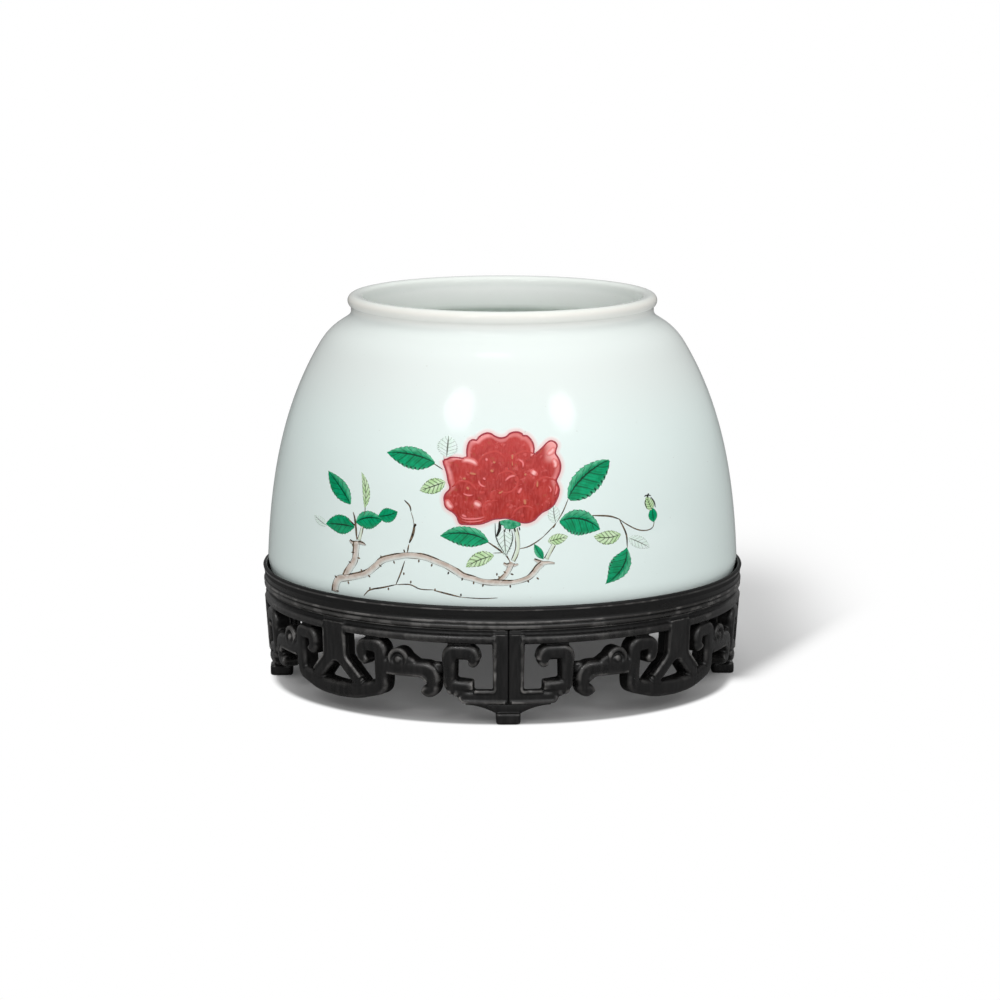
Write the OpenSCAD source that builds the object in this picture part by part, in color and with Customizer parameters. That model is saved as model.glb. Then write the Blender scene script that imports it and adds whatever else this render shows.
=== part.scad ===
// Porcelain water coupe on a carved openwork hardwood stand.
// Millimetres, +Z up. The origin is on the table under the middle of the stand, and the front is -Y.

/* [Pot] */
// Greatest diameter of the pot, low on its side
pot_d = 120; // [112:1:128]
// Height of the pot from its foot to the top of the lip
pot_h = 73.5; // [68:0.5:80]
// Height of the greatest diameter above the foot
belly_h = 7; // [6:0.5:10]
// Outside diameter of the neck under the lip
neck_d = 77.6; // [72:0.2:84]
// Thickness of the wall
wall_t = 3.4; // [2.6:0.1:4.2]
// Thickness of the rolled lip
lip_t = 3.3; // [2.8:0.1:4]
// Setback of the foot ring inside the greatest diameter
foot_ring_set = 3; // [2:0.5:4.5]
// Width of the foot ring
foot_ring_w = 5.5; // [3.5:0.5:6]
// Depth of the hollow inside the foot ring
foot_hollow = 1.6; // [1:0.1:2.4]
// Thickness of the floor
floor_t = 3.8; // [3:0.1:5]

/* [Seat ring] */
// Height of the stand to the top of its lip
stand_h = 29.7; // [27:0.1:33]
// Depth of the seat that the pot stands in
seat_depth = 4.7; // [4.4:0.1:5.6]
// Gap between the pot and the lip
seat_gap = 0.3; // [0.2:0.05:0.8]
// Thickness of the lip
rim_t = 1; // [0.9:0.1:1.4]
// Thickness of the ledge over the apron
ledge_t = 1.1; // [0.9:0.1:1.6]
// Height of the ring's core, behind the apron
core_h = 5.8; // [5:0.1:6]
// Width of the ring's core
core_w = 9.6; // [8:0.1:12]
// Width of the step that holds the board
board_rest = 4; // [3:0.1:5]
// Thickness of the board
board_t = 2.5; // [2:0.1:3]

/* [Apron] */
// Thickness of the carved work
apron_t = 4.5; // [3.8:0.1:5]
// Setback of the apron's top behind the lip
apron_set = 0.3; // [0.2:0.1:0.8]
// Slope of the apron's face, in degrees
apron_slope = 4; // [2:0.5:6]
// Height of the band along the top
band_h = 3.5; // [3:0.1:4.2]
// Width of half a foot post
post_w = 3.65; // [3:0.05:4]
// Width of half a pendant stem
stem_w = 3.5; // [3:0.05:4]
// Width of the bar along the foot
bar_w = 3; // [2.6:0.1:3.4]
// Width of an upright scroll
scroll_w = 3.6; // [3:0.1:4]
// Width of a scroll's curled end
curl_w = 2.8; // [2.4:0.1:3.2]
// Width of the bird's neck and its hooked tail
neck_w = 3.4; // [2.8:0.1:3.8]
// Width of the pendant's lower edge
lobe_w = 4.2; // [3.6:0.1:4.4]
// Widths of the thin links, of those at the bird, and of the crest and the legs
link_w = [2.2, 2.6, 3.2];
// Setback of the links in front and behind
link_set = 1.1; // [0.8:0.1:1.4]
// Depth of the rounding along a strand's edges
edge_drop = 1.2; // [0.6:0.1:1.8]

/* [Feet] */
// Width of a foot
foot_w = 6; // [5:0.1:7]
// Depth of a foot from front to back
foot_deep = 5.8; // [5:0.1:6.4]
// Height of a foot
foot_h = 2.9; // [2.4:0.1:3.4]
// Height of the bracket over a foot
bracket_h = 2.2; // [1.8:0.1:2.8]
// Reach of the bracket to each side, in degrees
bracket_reach = 10.4; // [8:0.1:11]
// Thickness of the bracket at its ends
bracket_end = 0.5; // [0.4:0.1:0.8]
// Setback of the bracket behind the apron's face
bracket_set = 1; // [0.2:0.1:1.2]

/* [Joints] */
// Clearance in a joint that is glued
slip = 0.1; // [0.05:0.01:0.15]
// Width, depth and height of a foot's tenon
tenon = [4.4, 2.2, 3.2];
// Diameter of an apron peg
peg_d = 1.6; // [1.2:0.1:2]
// Length of an apron peg
peg_l = 6; // [5:0.5:7]

/* [Hidden] */
$fn = 96;
porcelain = "#e3ece8";
hardwood = "#2b2422";
peg_wood = "#8a6a42";

quarters = ["front_right", "back_right", "back_left", "front_left"];
sides = ["front", "right", "back", "left"];
quarter_deg = 90;
first_foot_deg = -90;

apron_fn = 60;
facet_grow = 1 / cos(180 / apron_fn);
boss_fn = 10;
bend_steps = 3;
run_step = 6.5;
tip_steps = [40, 75];
back_gap = 0.7;
joint_gap = 0.04;
foot_lap = 0.8;

pot_r = pot_d / 2;
foot_ring_r = pot_r - foot_ring_set;
neck_r = neck_d / 2;
seat_z = stand_h - seat_depth;
apron_top = seat_z - ledge_t;
core_z = seat_z - core_h;
rim_in_r = pot_r + seat_gap;
rim_r = rim_in_r + rim_t;
face_top_r = rim_r - apron_set;
core_r = face_top_r - apron_t - back_gap;
core_in_r = core_r - core_w;
board_r = core_in_r + board_rest;
foot_top = foot_h + bracket_h;
foot_r = face_r(foot_top);
tenon_r = foot_r - apron_t / 2;
peg_deg = 22.5;
peg_z = apron_top - band_h / 2;

// The apron's drawing: degrees from a foot's middle across, and steps over the foot bar upwards.
// The drawing is this many steps high, and one step is a share of the apron's own height.
drawn_steps = 18.8;
step_mm = (apron_top - foot_top) / drawn_steps;
half_deg = quarter_deg / 2;
deg_mm = face_top_r * PI / 180;

function unit(v) = v / norm(v);
function flat(p) = [p[0], p[1]];
function mix(a, b, t) = a + (b - a) * t;

// Points along a Bezier curve of second or third order
function bezier2(a, b, c, n) =
    [for (i = [0 : n]) let (t = i / n) (1 - t) ^ 2 * a + 2 * t * (1 - t) * b + t ^ 2 * c];
function bezier3(a, b, c, d, n) =
    [for (i = [0 : n]) let (t = i / n, s = 1 - t)
        s ^ 3 * a + 3 * t * s ^ 2 * b + 3 * t ^ 2 * s * c + t ^ 3 * d];

// A curve moved sideways by d, to the left of the way it runs
function beside(path, d) =
    [for (i = [0 : len(path) - 1])
        let (
            before = path[max(i - 1, 0)],
            after = path[min(i + 1, len(path) - 1)],
            way = unit(after - before)
        )
        path[i] + d * [-way[1], way[0]]];

// Outline of the pot: a foot that turns out to the belly, a side that leans in to the shoulder,
// and a hollow neck under the lip
shoulder_r = neck_r + 7.7;
shoulder_h = pot_h - 12.7;
shoulder_way = unit([-9.9, 16.5]);
shoulder_pull = 19.2;
neck_pull = 7.4;
neck_h = pot_h - 4.2;
neck_hollow = 2.8;
lip_r = neck_r - lip_t / 2 + 0.5;
inside_floor = foot_hollow + floor_t;
inside_round = 11;

function pot_side() = bezier3(
    [pot_r, belly_h],
    [pot_r - 0.8, belly_h + 18.6],
    [shoulder_r, shoulder_h] - shoulder_pull * shoulder_way,
    [shoulder_r, shoulder_h],
    16
);
function pot_neck() = bezier3(
    [shoulder_r, shoulder_h],
    [shoulder_r, shoulder_h] + neck_pull * shoulder_way,
    [neck_r, neck_h - neck_hollow],
    [neck_r, neck_h],
    8
);
function pot_foot() = bezier2([foot_ring_r, 0], [pot_r - foot_ring_set / 6, belly_h / 5], [pot_r, belly_h], 5);
function lift(path, h) = [for (p = path) if (p[1] > h) p];
function back(path) = [for (i = [len(path) - 1 : -1 : 0]) path[i]];
function skip_first(path) = [for (i = [1 : len(path) - 1]) path[i]];

module water_pot() {
    outside = concat(pot_foot(), skip_first(pot_side()), skip_first(pot_neck()), [[neck_r, pot_h - lip_t / 2]]);
    inside = lift(beside(outside, wall_t), inside_floor + inside_round);
    low = inside[0];
    floor_end = [low[0] - inside_round, inside_floor];
    ring_in_r = foot_ring_r - foot_ring_w;
    color(porcelain)
        translate([0, 0, seat_z])
            rotate_extrude() {
                polygon(concat(
                    outside,
                    back(inside),
                    skip_first(bezier2(low, [low[0], inside_floor], floor_end, 6)),
                    [[0, inside_floor], [0, foot_hollow], [ring_in_r - foot_hollow, foot_hollow], [ring_in_r, 0]]
                ));
                translate([lip_r, pot_h - lip_t / 2]) circle(d = lip_t);
            }
}

// Turned ring: two beads, a hollow and a thin standing lip outside, a ledge and a core inside
bead_d = [1.3, 0.84];
bead_set = [0.25, 0.15];
bead_gap = 0.07;
hollow_deep = 0.45;

module seat_ring() {
    bead_z = [apron_top + bead_gap + bead_d[0] / 2, apron_top + 2 * bead_gap + bead_d[0] + bead_d[1] / 2];
    hollow_z = bead_z[1] + bead_d[1] / 4;
    waist_r = rim_r - hollow_deep;
    web_r = waist_r - 0.4;
    rim_z = stand_h - rim_t / 2;
    hollow = bezier2([waist_r, hollow_z], [waist_r, mix(hollow_z, rim_z, 0.5)], [rim_r, rim_z], 6);
    rim = [for (a = [20 : 20 : 180]) [rim_in_r + rim_t / 2 * (1 + cos(a)), rim_z + rim_t / 2 * sin(a)]];
    color(hardwood)
        difference() {
            rotate_extrude() {
                polygon(concat(
                    [[core_r, core_z], [core_r, apron_top], [web_r, apron_top], [web_r, hollow_z]],
                    hollow,
                    rim,
                    [[rim_in_r, seat_z], [board_r, seat_z], [board_r, seat_z - board_t]],
                    [[core_in_r, seat_z - board_t], [core_in_r, core_z]]
                ));
                for (i = [0, 1])
                    translate([rim_r - bead_set[i] - bead_d[i] / 2, bead_z[i]]) circle(d = bead_d[i]);
            }
            at_pegs() cylinder(d = peg_d + 2 * slip, h = peg_l + 2 * slip, center = true);
        }
}

module seat_board() {
    color(hardwood)
        translate([0, 0, seat_z - board_t])
            cylinder(r = board_r - slip, h = board_t - slip);
}

// Where the pegs lie: pointing outwards across the joint between the ring's core and the band
module at_pegs() {
    for (k = [0 : 3], d = [peg_deg, quarter_deg - peg_deg])
        rotate([0, 0, first_foot_deg + quarter_deg * k + d])
            translate([core_r, 0, peg_z])
                rotate([0, 90, 0])
                    children();
}

module apron_pegs() {
    color(peg_wood)
        at_pegs() cylinder(d = peg_d, h = peg_l, center = true);
}

// The apron's face is a cone that narrows downwards
function face_r(z) = face_top_r - (apron_top - z) * tan(apron_slope);
function on_face(x, z, deep) =
    let (a = x / deg_mm, r = face_r(z) - deep)
    [r * cos(a), r * sin(a), z];
function rise(v) = foot_top + v * step_mm;

// A strand's route is a list of [degrees, steps up, steps of the bend there, width].
// It is laid flat, its bends are rounded and its long runs are divided, so that it follows the cone.
function laid(route) = [for (p = route) [p[0] * deg_mm, rise(p[1]), p[2] * step_mm, p[3]]];
function bend(a, b, c) =
    let (
        from = flat(b) + b[2] * unit(flat(a) - flat(b)),
        to = flat(b) + b[2] * unit(flat(c) - flat(b))
    )
    [for (p = bezier2(from, flat(b), to, bend_steps)) [p[0], p[1], b[3]]];
function bent(route) =
    let (last = len(route) - 1)
    concat(
        [[route[0][0], route[0][1], route[0][3]]],
        [for (i = [1 : 1 : last - 1]) each bend(route[i - 1], route[i], route[i + 1])],
        [[route[last][0], route[last][1], route[last][3]]]
    );
function divided(path) =
    let (last = len(path) - 1)
    concat(
        [for (i = [0 : last - 1])
            let (n = max(1, ceil(abs(path[i + 1][0] - path[i][0]) / run_step)))
            each [for (k = [0 : n - 1]) mix(path[i], path[i + 1], k / n)]],
        [path[last]]
    );
function tipped(path) =
    let (
        last = len(path) - 1,
        end = path[last],
        way = unit(flat(end) - flat(path[last - 1]))
    )
    concat(path, [for (a = tip_steps)
        let (p = flat(end) + way * end[2] / 2 * sin(a))
        [p[0], p[1], end[2] * cos(a)]]);

// Section of a strand: flat back and sides, and a rounded face
section = [[-1, 1, 0], [-1, 0, 1], [-0.45, 0, 0.1], [0.45, 0, 0.1], [1, 0, 1], [1, 1, 0]];

module strand(route, sunk = 0, thin = 0, round_end = false) {
    path = divided(bent(laid(route)));
    run = round_end ? tipped(path) : path;
    last = len(run) - 1;
    m = len(section);
    points = [for (i = [0 : last])
        let (
            way = unit(flat(run[min(i + 1, last)]) - flat(run[max(i - 1, 0)])),
            half = run[i][2] / 2
        )
        for (s = section)
            on_face(
                run[i][0] - s[0] * half * way[1],
                run[i][1] + s[0] * half * way[0],
                s[1] * (apron_t - thin) + (1 - s[1]) * (sunk + s[2] * edge_drop)
            )];
    faces = concat(
        [[for (j = [m - 1 : -1 : 0]) j]],
        [for (i = [0 : last - 1], j = [0 : m - 1])
            let (a = i * m + j, b = i * m + (j + 1) % m)
            each [[a, b, a + m], [b, b + m, a + m]]],
        [[for (j = [0 : m - 1]) last * m + j]]
    );
    polyhedron(points, faces);
}

// A round knuckle, domed like the strands
module knuckle(a, v, size, proud) {
    z = rise(v);
    r = size * step_mm;
    rotate([0, 0, a])
        translate([face_r(z) + proud, 0, z])
            rotate([0, -90, 0]) {
                cylinder(r1 = r * 0.5, r2 = r, h = edge_drop);
                translate([0, 0, edge_drop]) cylinder(r = r, h = apron_t - 2 * edge_drop);
            }
}

// Half of a quarter, from a foot's middle to the pendant's middle
module apron_half() {
    post_mid = (joint_gap + post_w / 2) / deg_mm;
    stem_mid = half_deg - (stem_w / 2 - 0.1) / deg_mm;
    bar_v = bar_w / 2 / step_mm;
    top_v = drawn_steps - 0.1;
    // Foot post and pendant stem
    strand([[post_mid, 0.15, 0, post_w], [post_mid, top_v, 0, post_w]], thin = 0.15);
    strand([[stem_mid, 7.6, 0, stem_w], [stem_mid, top_v, 0, stem_w]], thin = 0.2);
    // Foot bar, and the foot scroll that stands on its end
    strand([[1.2, bar_v, 0, bar_w], [10.5, bar_v, 0, bar_w]], round_end = true);
    strand([
        [9, 4, 0, curl_w], [14, 4, 2.4, link_w[2]], [14, 13.2, 2.6, scroll_w], [8.2, 13.2, 2.4, curl_w], [8.2, 10.4, 0, curl_w]
    ], thin = 0.1, round_end = true);
    knuckle(11.3, 1.8, 1.6, -0.25);
    knuckle(13.9, 4.5, 1.8, -0.15);
    knuckle(13.7, 12.9, 1.9, -0.15);
    // Bird: neck and hooked tail, crested head and eye
    strand([[31, 7.9, 0, neck_w], [17.8, 7.9, 2.6, neck_w], [17.8, 2.9, 2.2, neck_w], [20.4, 2.7, 0, curl_w]],
        thin = 0.25, round_end = true);
    strand([[30.7, 8.9, 0, link_w[2]], [26.7, 11.9, 3.6, neck_w], [21.7, 8.5, 0, link_w[0]]], sunk = 0.4, thin = 0.7);
    knuckle(26.8, 9.8, 2.5, -0.35);
    knuckle(26.8, 9.8, 1.3, -0.05);
    // Pendant's lower edge, rising into the pendant scroll, and the leg of the stem
    strand([
        [half_deg + 0.4, 0.7, 0, lobe_w], [39.2, 1, 2.6, lobe_w], [31.5, 3.1, 2.6, scroll_w],
        [31.5, 13.2, 2.6, scroll_w], [37, 13.2, 2.2, curl_w], [37, 10.6, 0, curl_w]
    ], round_end = true);
    strand([[43.6, 8.4, 0, link_w[2]], [37.4, 2.4, 0, link_w[2]]], thin = 0.4);
    knuckle(31.7, 3, 1.8, -0.2);
    knuckle(31.8, 12.9, 1.9, -0.15);
    // Set-back links that tie the scrolls to the band and to the bird
    strand([[8.8, 14.9, 0, link_w[0]], [14.4, 14.9, 0, link_w[0]]], sunk = link_set, thin = link_set);
    strand([[31.6, 14.9, 0, link_w[0]], [35.8, 14.9, 0, link_w[0]]], sunk = link_set, thin = link_set);
    strand([[14.6, 8.6, 0, link_w[1]], [18.4, 8.6, 0, link_w[1]]], sunk = link_set, thin = link_set);
}

// Band along the top: a hollow over a round lower edge
band_edge = [[0.5, 0], [0.05, 0.1], [-0.1, 0.27], [0.1, 0.45], [0.45, 0.6], [0.5, 0.85], [0.3, 1]];

module band() {
    low = apron_top - band_h;
    back_r = (core_r + slip) * facet_grow;
    gap_deg = joint_gap / deg_mm;
    rotate([0, 0, gap_deg])
        rotate_extrude(angle = quarter_deg - 2 * gap_deg, $fn = apron_fn)
            polygon(concat(
                [[back_r, apron_top], [back_r, low]],
                [for (p = band_edge) [face_r(low) - p[0], low + p[1] * band_h]]
            ));
}

module apron(k) {
    mortise = [for (s = tenon) s + 2 * slip];
    color(hardwood)
        rotate([0, 0, first_foot_deg + quarter_deg * k])
            difference() {
                union() {
                    band();
                    apron_half();
                    mirror([1, -1, 0]) apron_half();
                }
                for (d = [0, quarter_deg])
                    rotate([0, 0, d])
                        translate([tenon_r, 0, foot_top + tenon[2] / 2])
                            cube([mortise[1], mortise[0], mortise[2]], center = true);
                for (d = [peg_deg, quarter_deg - peg_deg])
                    rotate([0, 0, d])
                        translate([core_r, 0, peg_z])
                            rotate([0, 90, 0])
                                cylinder(r = (peg_d / 2 + slip) / cos(180 / boss_fn), h = peg_l + 2 * slip,
                                    center = true, $fn = boss_fn);
            }
}

// Block foot under a curved bracket, with a tenon that goes up across the joint of two quarters
module foot(k) {
    reach = foot_r * sin(bracket_reach);
    rise_end = bracket_h - bracket_end;
    scoop_x = reach - foot_w / 2;
    scoop_r = (scoop_x ^ 2 + rise_end ^ 2) / (2 * rise_end);
    color(hardwood)
        rotate([0, 0, first_foot_deg + quarter_deg * k]) {
            translate([foot_r - foot_deep, -foot_w / 2, 0]) cube([foot_deep, foot_w, foot_h]);
            difference() {
                rotate([0, 0, -bracket_reach])
                    rotate_extrude(angle = 2 * bracket_reach)
                        translate([foot_r - apron_t, foot_h - foot_lap])
                            square([apron_t - bracket_set, bracket_h + foot_lap]);
                for (side = [-1, 1])
                    translate([0, side * reach, foot_top - bracket_end - scoop_r])
                        rotate([0, 90, 0])
                            cylinder(r = scoop_r, h = 2 * foot_r);
            }
            translate([tenon_r, 0, foot_top + (tenon[2] - foot_lap) / 2])
                cube([tenon[1], tenon[0], tenon[2] + foot_lap], center = true);
        }
}

water_pot();
seat_ring();
seat_board();
apron_pegs();
for (k = [0 : 3]) {
    apron(k);
    foot(k);
}
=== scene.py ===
# %% [markdown]
# # A painted water pot on its carved stand
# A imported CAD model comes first, with every piece in its place, in metres. This lesson keeps that frame
# and makes the looks over it: the glazed pot, the enamel spray, the turned ring and the carved apron.
# Sizes are written in millimetres, as a potter or a carver would give them.

import bpy
import numpy as np
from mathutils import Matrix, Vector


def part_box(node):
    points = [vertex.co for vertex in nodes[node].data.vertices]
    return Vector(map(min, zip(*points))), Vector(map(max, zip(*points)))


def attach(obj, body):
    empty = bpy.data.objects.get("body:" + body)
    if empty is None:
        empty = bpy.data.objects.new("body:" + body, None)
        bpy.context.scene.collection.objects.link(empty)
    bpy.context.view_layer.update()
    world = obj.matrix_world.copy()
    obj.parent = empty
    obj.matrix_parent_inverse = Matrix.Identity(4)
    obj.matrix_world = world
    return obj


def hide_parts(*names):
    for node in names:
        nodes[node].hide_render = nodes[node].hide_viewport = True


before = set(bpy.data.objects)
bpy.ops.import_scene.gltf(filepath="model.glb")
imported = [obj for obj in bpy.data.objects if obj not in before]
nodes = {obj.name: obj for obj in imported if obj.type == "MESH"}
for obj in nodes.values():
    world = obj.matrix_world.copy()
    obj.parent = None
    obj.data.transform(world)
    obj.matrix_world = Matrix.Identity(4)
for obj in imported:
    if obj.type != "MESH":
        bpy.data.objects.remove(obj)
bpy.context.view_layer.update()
MM = 0.001
print("CAD nodes:", ", ".join(sorted(nodes)))

# %% [markdown]
# The photograph was taken from about a metre away and a little above, with a long lens, so the camera is
# set before anything else. It stands slightly to the left of the front foot, and the painting faces it.

# %% Camera
VIEW_TURN = np.radians(-1.4)
VIEW_TILT = np.radians(10.03)
VIEW_REACH = 0.9887
VIEW_HEIGHT = 0.220
VIEW_ASIDE = -0.0006
LENS = 141.1
view_back = np.array([np.sin(VIEW_TURN), -np.cos(VIEW_TURN)])
view_right = np.array([np.cos(VIEW_TURN), np.sin(VIEW_TURN)])


def in_scene(name, data):
    """A new object that holds this data, linked into the scene."""
    made = bpy.data.objects.new(name, data)
    bpy.context.scene.collection.objects.link(made)
    return made


camera_data = bpy.data.cameras.new("camera")
camera_data.lens = LENS
camera = in_scene("camera", camera_data)
camera.location = (*(view_back * VIEW_REACH + view_right * VIEW_ASIDE), VIEW_HEIGHT)
camera.rotation_euler = (np.pi / 2 - VIEW_TILT, 0, VIEW_TURN)
bpy.context.scene.camera = camera
bpy.context.scene.view_settings.view_transform = "Standard"
print("camera at", [round(v, 3) for v in camera.location])

# %% [markdown]
# Blender's own shapes could be pushed about by hand, but their sizes would then be hard to read and to
# change. So every new surface is a grid of points worked out as whole arrays. Neighbours on the grid make
# quads, and an open end is closed by a fan of triangles, so that each form is a skin with no holes.

# %% Grids and fans
def grid_faces(rows, cols, close_rows=False):
    """Quads between neighbours on a grid of rows by cols points. The columns always close on themselves,
    and the rows do where it is asked."""
    row = np.arange(rows if close_rows else rows - 1)[:, None]
    col = np.arange(cols)
    next_row = (row + 1) % rows
    next_col = (col + 1) % cols
    corners = [row * cols + col, row * cols + next_col, next_row * cols + next_col, next_row * cols + col]
    return np.stack(corners, -1).reshape(-1, 4)


def fan_faces(ring, tip, flip=False):
    """Triangles from each edge of a closed ring of point numbers to one tip."""
    ahead = np.roll(ring, -1)
    first, second = (ahead, ring) if flip else (ring, ahead)
    return np.stack([first, second, np.full(len(ring), tip)], -1)


def tube(grid, tips=None, inside_out=False):
    """A closed skin over a grid of points: quads along it, and at either end a fan to a tip, which is the
    middle of the end's ring where none is given."""
    rows, cols = grid.shape[:2]
    tips = grid[[0, -1]].mean(1) if tips is None else tips
    quads = grid_faces(rows, cols)
    ring = np.arange(cols)
    last, tip = (rows - 1) * cols, rows * cols
    faces = [
        quads[:, ::-1] if inside_out else quads,
        fan_faces(ring, tip, flip=not inside_out),
        fan_faces(ring + last, tip + 1, flip=inside_out),
    ]
    return np.concatenate([grid.reshape(-1, 3), tips]), faces


print("a tube of 3 rings of 4 points:", [len(part) for part in tube(np.zeros((3, 4, 3)))[1]], "faces")

# %% [markdown]
# One function puts the arrays into a mesh, which rides on a body of the frame, so that the pot and all that
# is painted on it lift off the stand together. Numbers kept at the points, here called marks, tell a
# finish later where it lies.

# %% From arrays to pieces
def joined(shells):
    """Several (points, list of face arrays) shells as one, their point numbers counted on."""
    starts = np.cumsum([0] + [len(points) for points, _ in shells])
    points = np.concatenate([points for points, _ in shells])
    faces = [part + start for (_, parts), start in zip(shells, starts) for part in parts]
    return points, faces


def mesh_of(name, points, faces):
    """A mesh from an array of points and several arrays of faces."""
    mesh = bpy.data.meshes.new(name)
    mesh.from_pydata(points.tolist(), [], [face for part in faces for face in part.tolist()])
    return mesh


def keep_marks(mesh, marks):
    """Keeps each named array of numbers at the mesh's points."""
    for mark, values in marks.items():
        mesh.attributes.new(mark, "FLOAT", "POINT").data.foreach_set("value", values.astype(np.float32))


def add_piece(name, points, faces, body, slot, stands_for=(), marks={}):
    """A smooth piece from points in millimetres and arrays of faces."""
    mesh = mesh_of(name, points * MM, faces)
    mesh.polygons.foreach_set("use_smooth", np.ones(len(mesh.polygons), bool))
    keep_marks(mesh, marks)
    mesh.update()
    piece = in_scene(name, mesh)
    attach(piece, body)
    if stands_for:
        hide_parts(*stands_for)
    print(f"{name}: {len(points)} points, {sum(len(part) for part in faces)} faces")
    return piece


# %% [markdown]
# Turned and swept forms need curves. A Bezier curve gives the long soft lines of the pot, and a route of
# corners, each with the size of its bend, gives the mouldings and the carved strands. Blender's curve
# objects could hold them, but arrays of points are easier to turn, to spread and to measure.

# %% Curves
NO_LENGTH = 1e-6


def unit(vectors):
    """Vectors divided by their own lengths."""
    vectors = np.asarray(vectors, float)
    return vectors / np.linalg.norm(vectors, axis=-1, keepdims=True)


def bezier(points, count):
    """Points on a Bezier curve of second or third order: the corners mixed with binomial weights."""
    t = np.linspace(0, 1, count)[:, None]
    s = 1 - t
    a, b, c, *rest = np.asarray(points, float)
    if not rest:
        return s**2 * a + 2 * s * t * b + t**2 * c
    return s**3 * a + 3 * s**2 * t * b + 3 * s * t**2 * c + t**3 * rest[0]


def arc(middle_r, middle_z, r, start, end, count):
    """Points on a part of a circle, from one angle in degrees to another."""
    turn = np.radians(np.linspace(start, end, count))
    return np.column_stack([middle_r + r * np.cos(turn), middle_z + r * np.sin(turn)])


def bent(route, count=9):
    """A route of corners (x, y, bend, width): each bend is a second-order curve between the legs."""
    route = np.asarray(route, float)
    pieces = [route[:1, [0, 1, 3]]]
    for before, here, after in zip(route[:-2], route[1:-1], route[2:]):
        start = here[:2] + here[2] * unit(before[:2] - here[:2])
        end = here[:2] + here[2] * unit(after[:2] - here[:2])
        curve = bezier([start, here[:2], end], count)
        pieces.append(np.column_stack([curve, np.full(count, here[3])]))
    return np.concatenate(pieces + [route[-1:, [0, 1, 3]]])


def even(path, step, close=False):
    """A path resampled at equal steps of its length in the plane; further columns are carried along."""
    path = np.concatenate([path, path[:1]]) if close else np.asarray(path, float)
    legs = np.linalg.norm(np.diff(path[:, :2], axis=0), axis=1)
    moves = legs > NO_LENGTH
    path = path[np.r_[True, moves]]
    length = np.concatenate([[0], np.cumsum(legs[moves])])
    at = np.linspace(0, length[-1], max(3, int(np.ceil(length[-1] / step)) + 1))
    at = at[:-1] if close else at
    return np.column_stack([np.interp(at, length, column) for column in path.T])


print("a route with one bend:", len(bent([[0, 0, 0, 1], [4, 0, 1, 1], [4, 4, 0, 1]])), "points")

# %% [markdown]
# A curve becomes a surface in two ways here. A profile is turned about the axis, as on a wheel or a lathe,
# and a path is spread to both sides into a strand or a brush stroke.

# %% From curves to surfaces
def sideways(path):
    """The direction to the left of a plane path at each of its points."""
    way = unit(np.gradient(path[:, :2], axis=0))
    return np.column_stack([-way[:, 1], way[:, 0]])


def spread(path, half, across):
    """Both coordinates of points beside a path: across, from -1 to 1, times the half width, to its left."""
    aside = sideways(path)
    return [path[:, k:k + 1] + half[:, None] * across * aside[:, k:k + 1] for k in (0, 1)]


def turned(profile, steps, closed):
    """A turned form: each profile point (r, z) goes once round. A loop closes on itself, and a profile
    that is no loop starts and ends on the axis, where it closes in fans."""
    angle = np.linspace(0, 2 * np.pi, steps, endpoint=False)
    rings = profile if closed else profile[1:-1]
    r = rings[:, :1]
    x, y = r * np.cos(angle), r * np.sin(angle)
    grid = np.stack([x, y, np.broadcast_to(rings[:, 1:], x.shape)], -1)
    if closed:
        return grid.reshape(-1, 3), [grid_faces(len(rings), steps, close_rows=True)]
    return tube(grid, [[0, 0, profile[0, 1]], [0, 0, profile[-1, 1]]])


print("a disc of 8 steps:", len(turned(np.array([[0, 0], [1, 0], [0, 1]]), 8, closed=False)[0]), "points")

# %% [markdown]
# The pot was thrown and turned as one body: a side that leans in to the shoulder, a short hollow neck and
# a rolled lip. One profile runs from the middle of the base, under the foot ring, up the outside, over the
# lip and down the inside to the middle of the floor, and is turned about the axis. A Screw modifier could
# turn it too. With arrays each row of the profile stays known, so the glaze can be told where it lies.

# %% Pot
pot_low, pot_high = (np.array(corner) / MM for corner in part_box("water_pot"))
seat_z = pot_low[2]
pot_h = pot_high[2] - seat_z
pot_r = pot_high[0]
belly_h = 7
belly_pull = 18.6
neck_r = 38.45
neck_h = pot_h - 4.2
neck_pull = 2.8
shoulder = np.array([46.5, pot_h - 12.7])
shoulder_way = unit([-9.9, 16.5])
pull_below, pull_above = 19.2, 7.4
wall_t = 3.4
lip_t = 3.3
lip_r = 37.65
lip_h = pot_h - lip_t / 2
foot_ring_r = 57
foot_ring_in_r = 51.5
foot_hollow = 1.6
inside_floor = 5.4
inside_round = 11
inside_top = pot_h - 8
ROUND_STEPS = 288


def at_height(radii, z):
    """Profile points at one height."""
    return np.column_stack([radii, np.full(len(radii), z)])


foot_side = bezier([[foot_ring_r, 0], [pot_r - 0.5, 1.4], [pot_r, belly_h]], 12)
below_shoulder = shoulder - pull_below * shoulder_way
above_shoulder = shoulder + pull_above * shoulder_way
side = bezier([[pot_r, belly_h], [pot_r - 0.8, belly_h + belly_pull], below_shoulder, shoulder], 60)
neck = bezier([shoulder, above_shoulder, [neck_r, neck_h - neck_pull], [neck_r, neck_h]], 24)
outside = np.concatenate([foot_side, side[1:], neck[1:]])
lip = arc(lip_r, lip_h, lip_t / 2, -60, 90, 20)
inside = (outside + wall_t * sideways(outside))[::-1]
inside = inside[(inside[:, 1] > inside_floor + inside_round) & (inside[:, 1] < inside_top)]
inside_end = np.array([inside[-1, 0] - inside_round, inside_floor])
under_lip = bezier([lip[-1], [lip_r - 2.6, pot_h], [inside[0, 0] - 2.2, pot_h - 1.2], inside[0]], 20)
floor_round = bezier([inside[-1], [inside[-1, 0], inside_floor], inside_end], 14)
floor_flat = at_height([30, 15, 0], inside_floor)
base = at_height([0, 18, 36, foot_ring_in_r - 1.9], foot_hollow)
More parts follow.
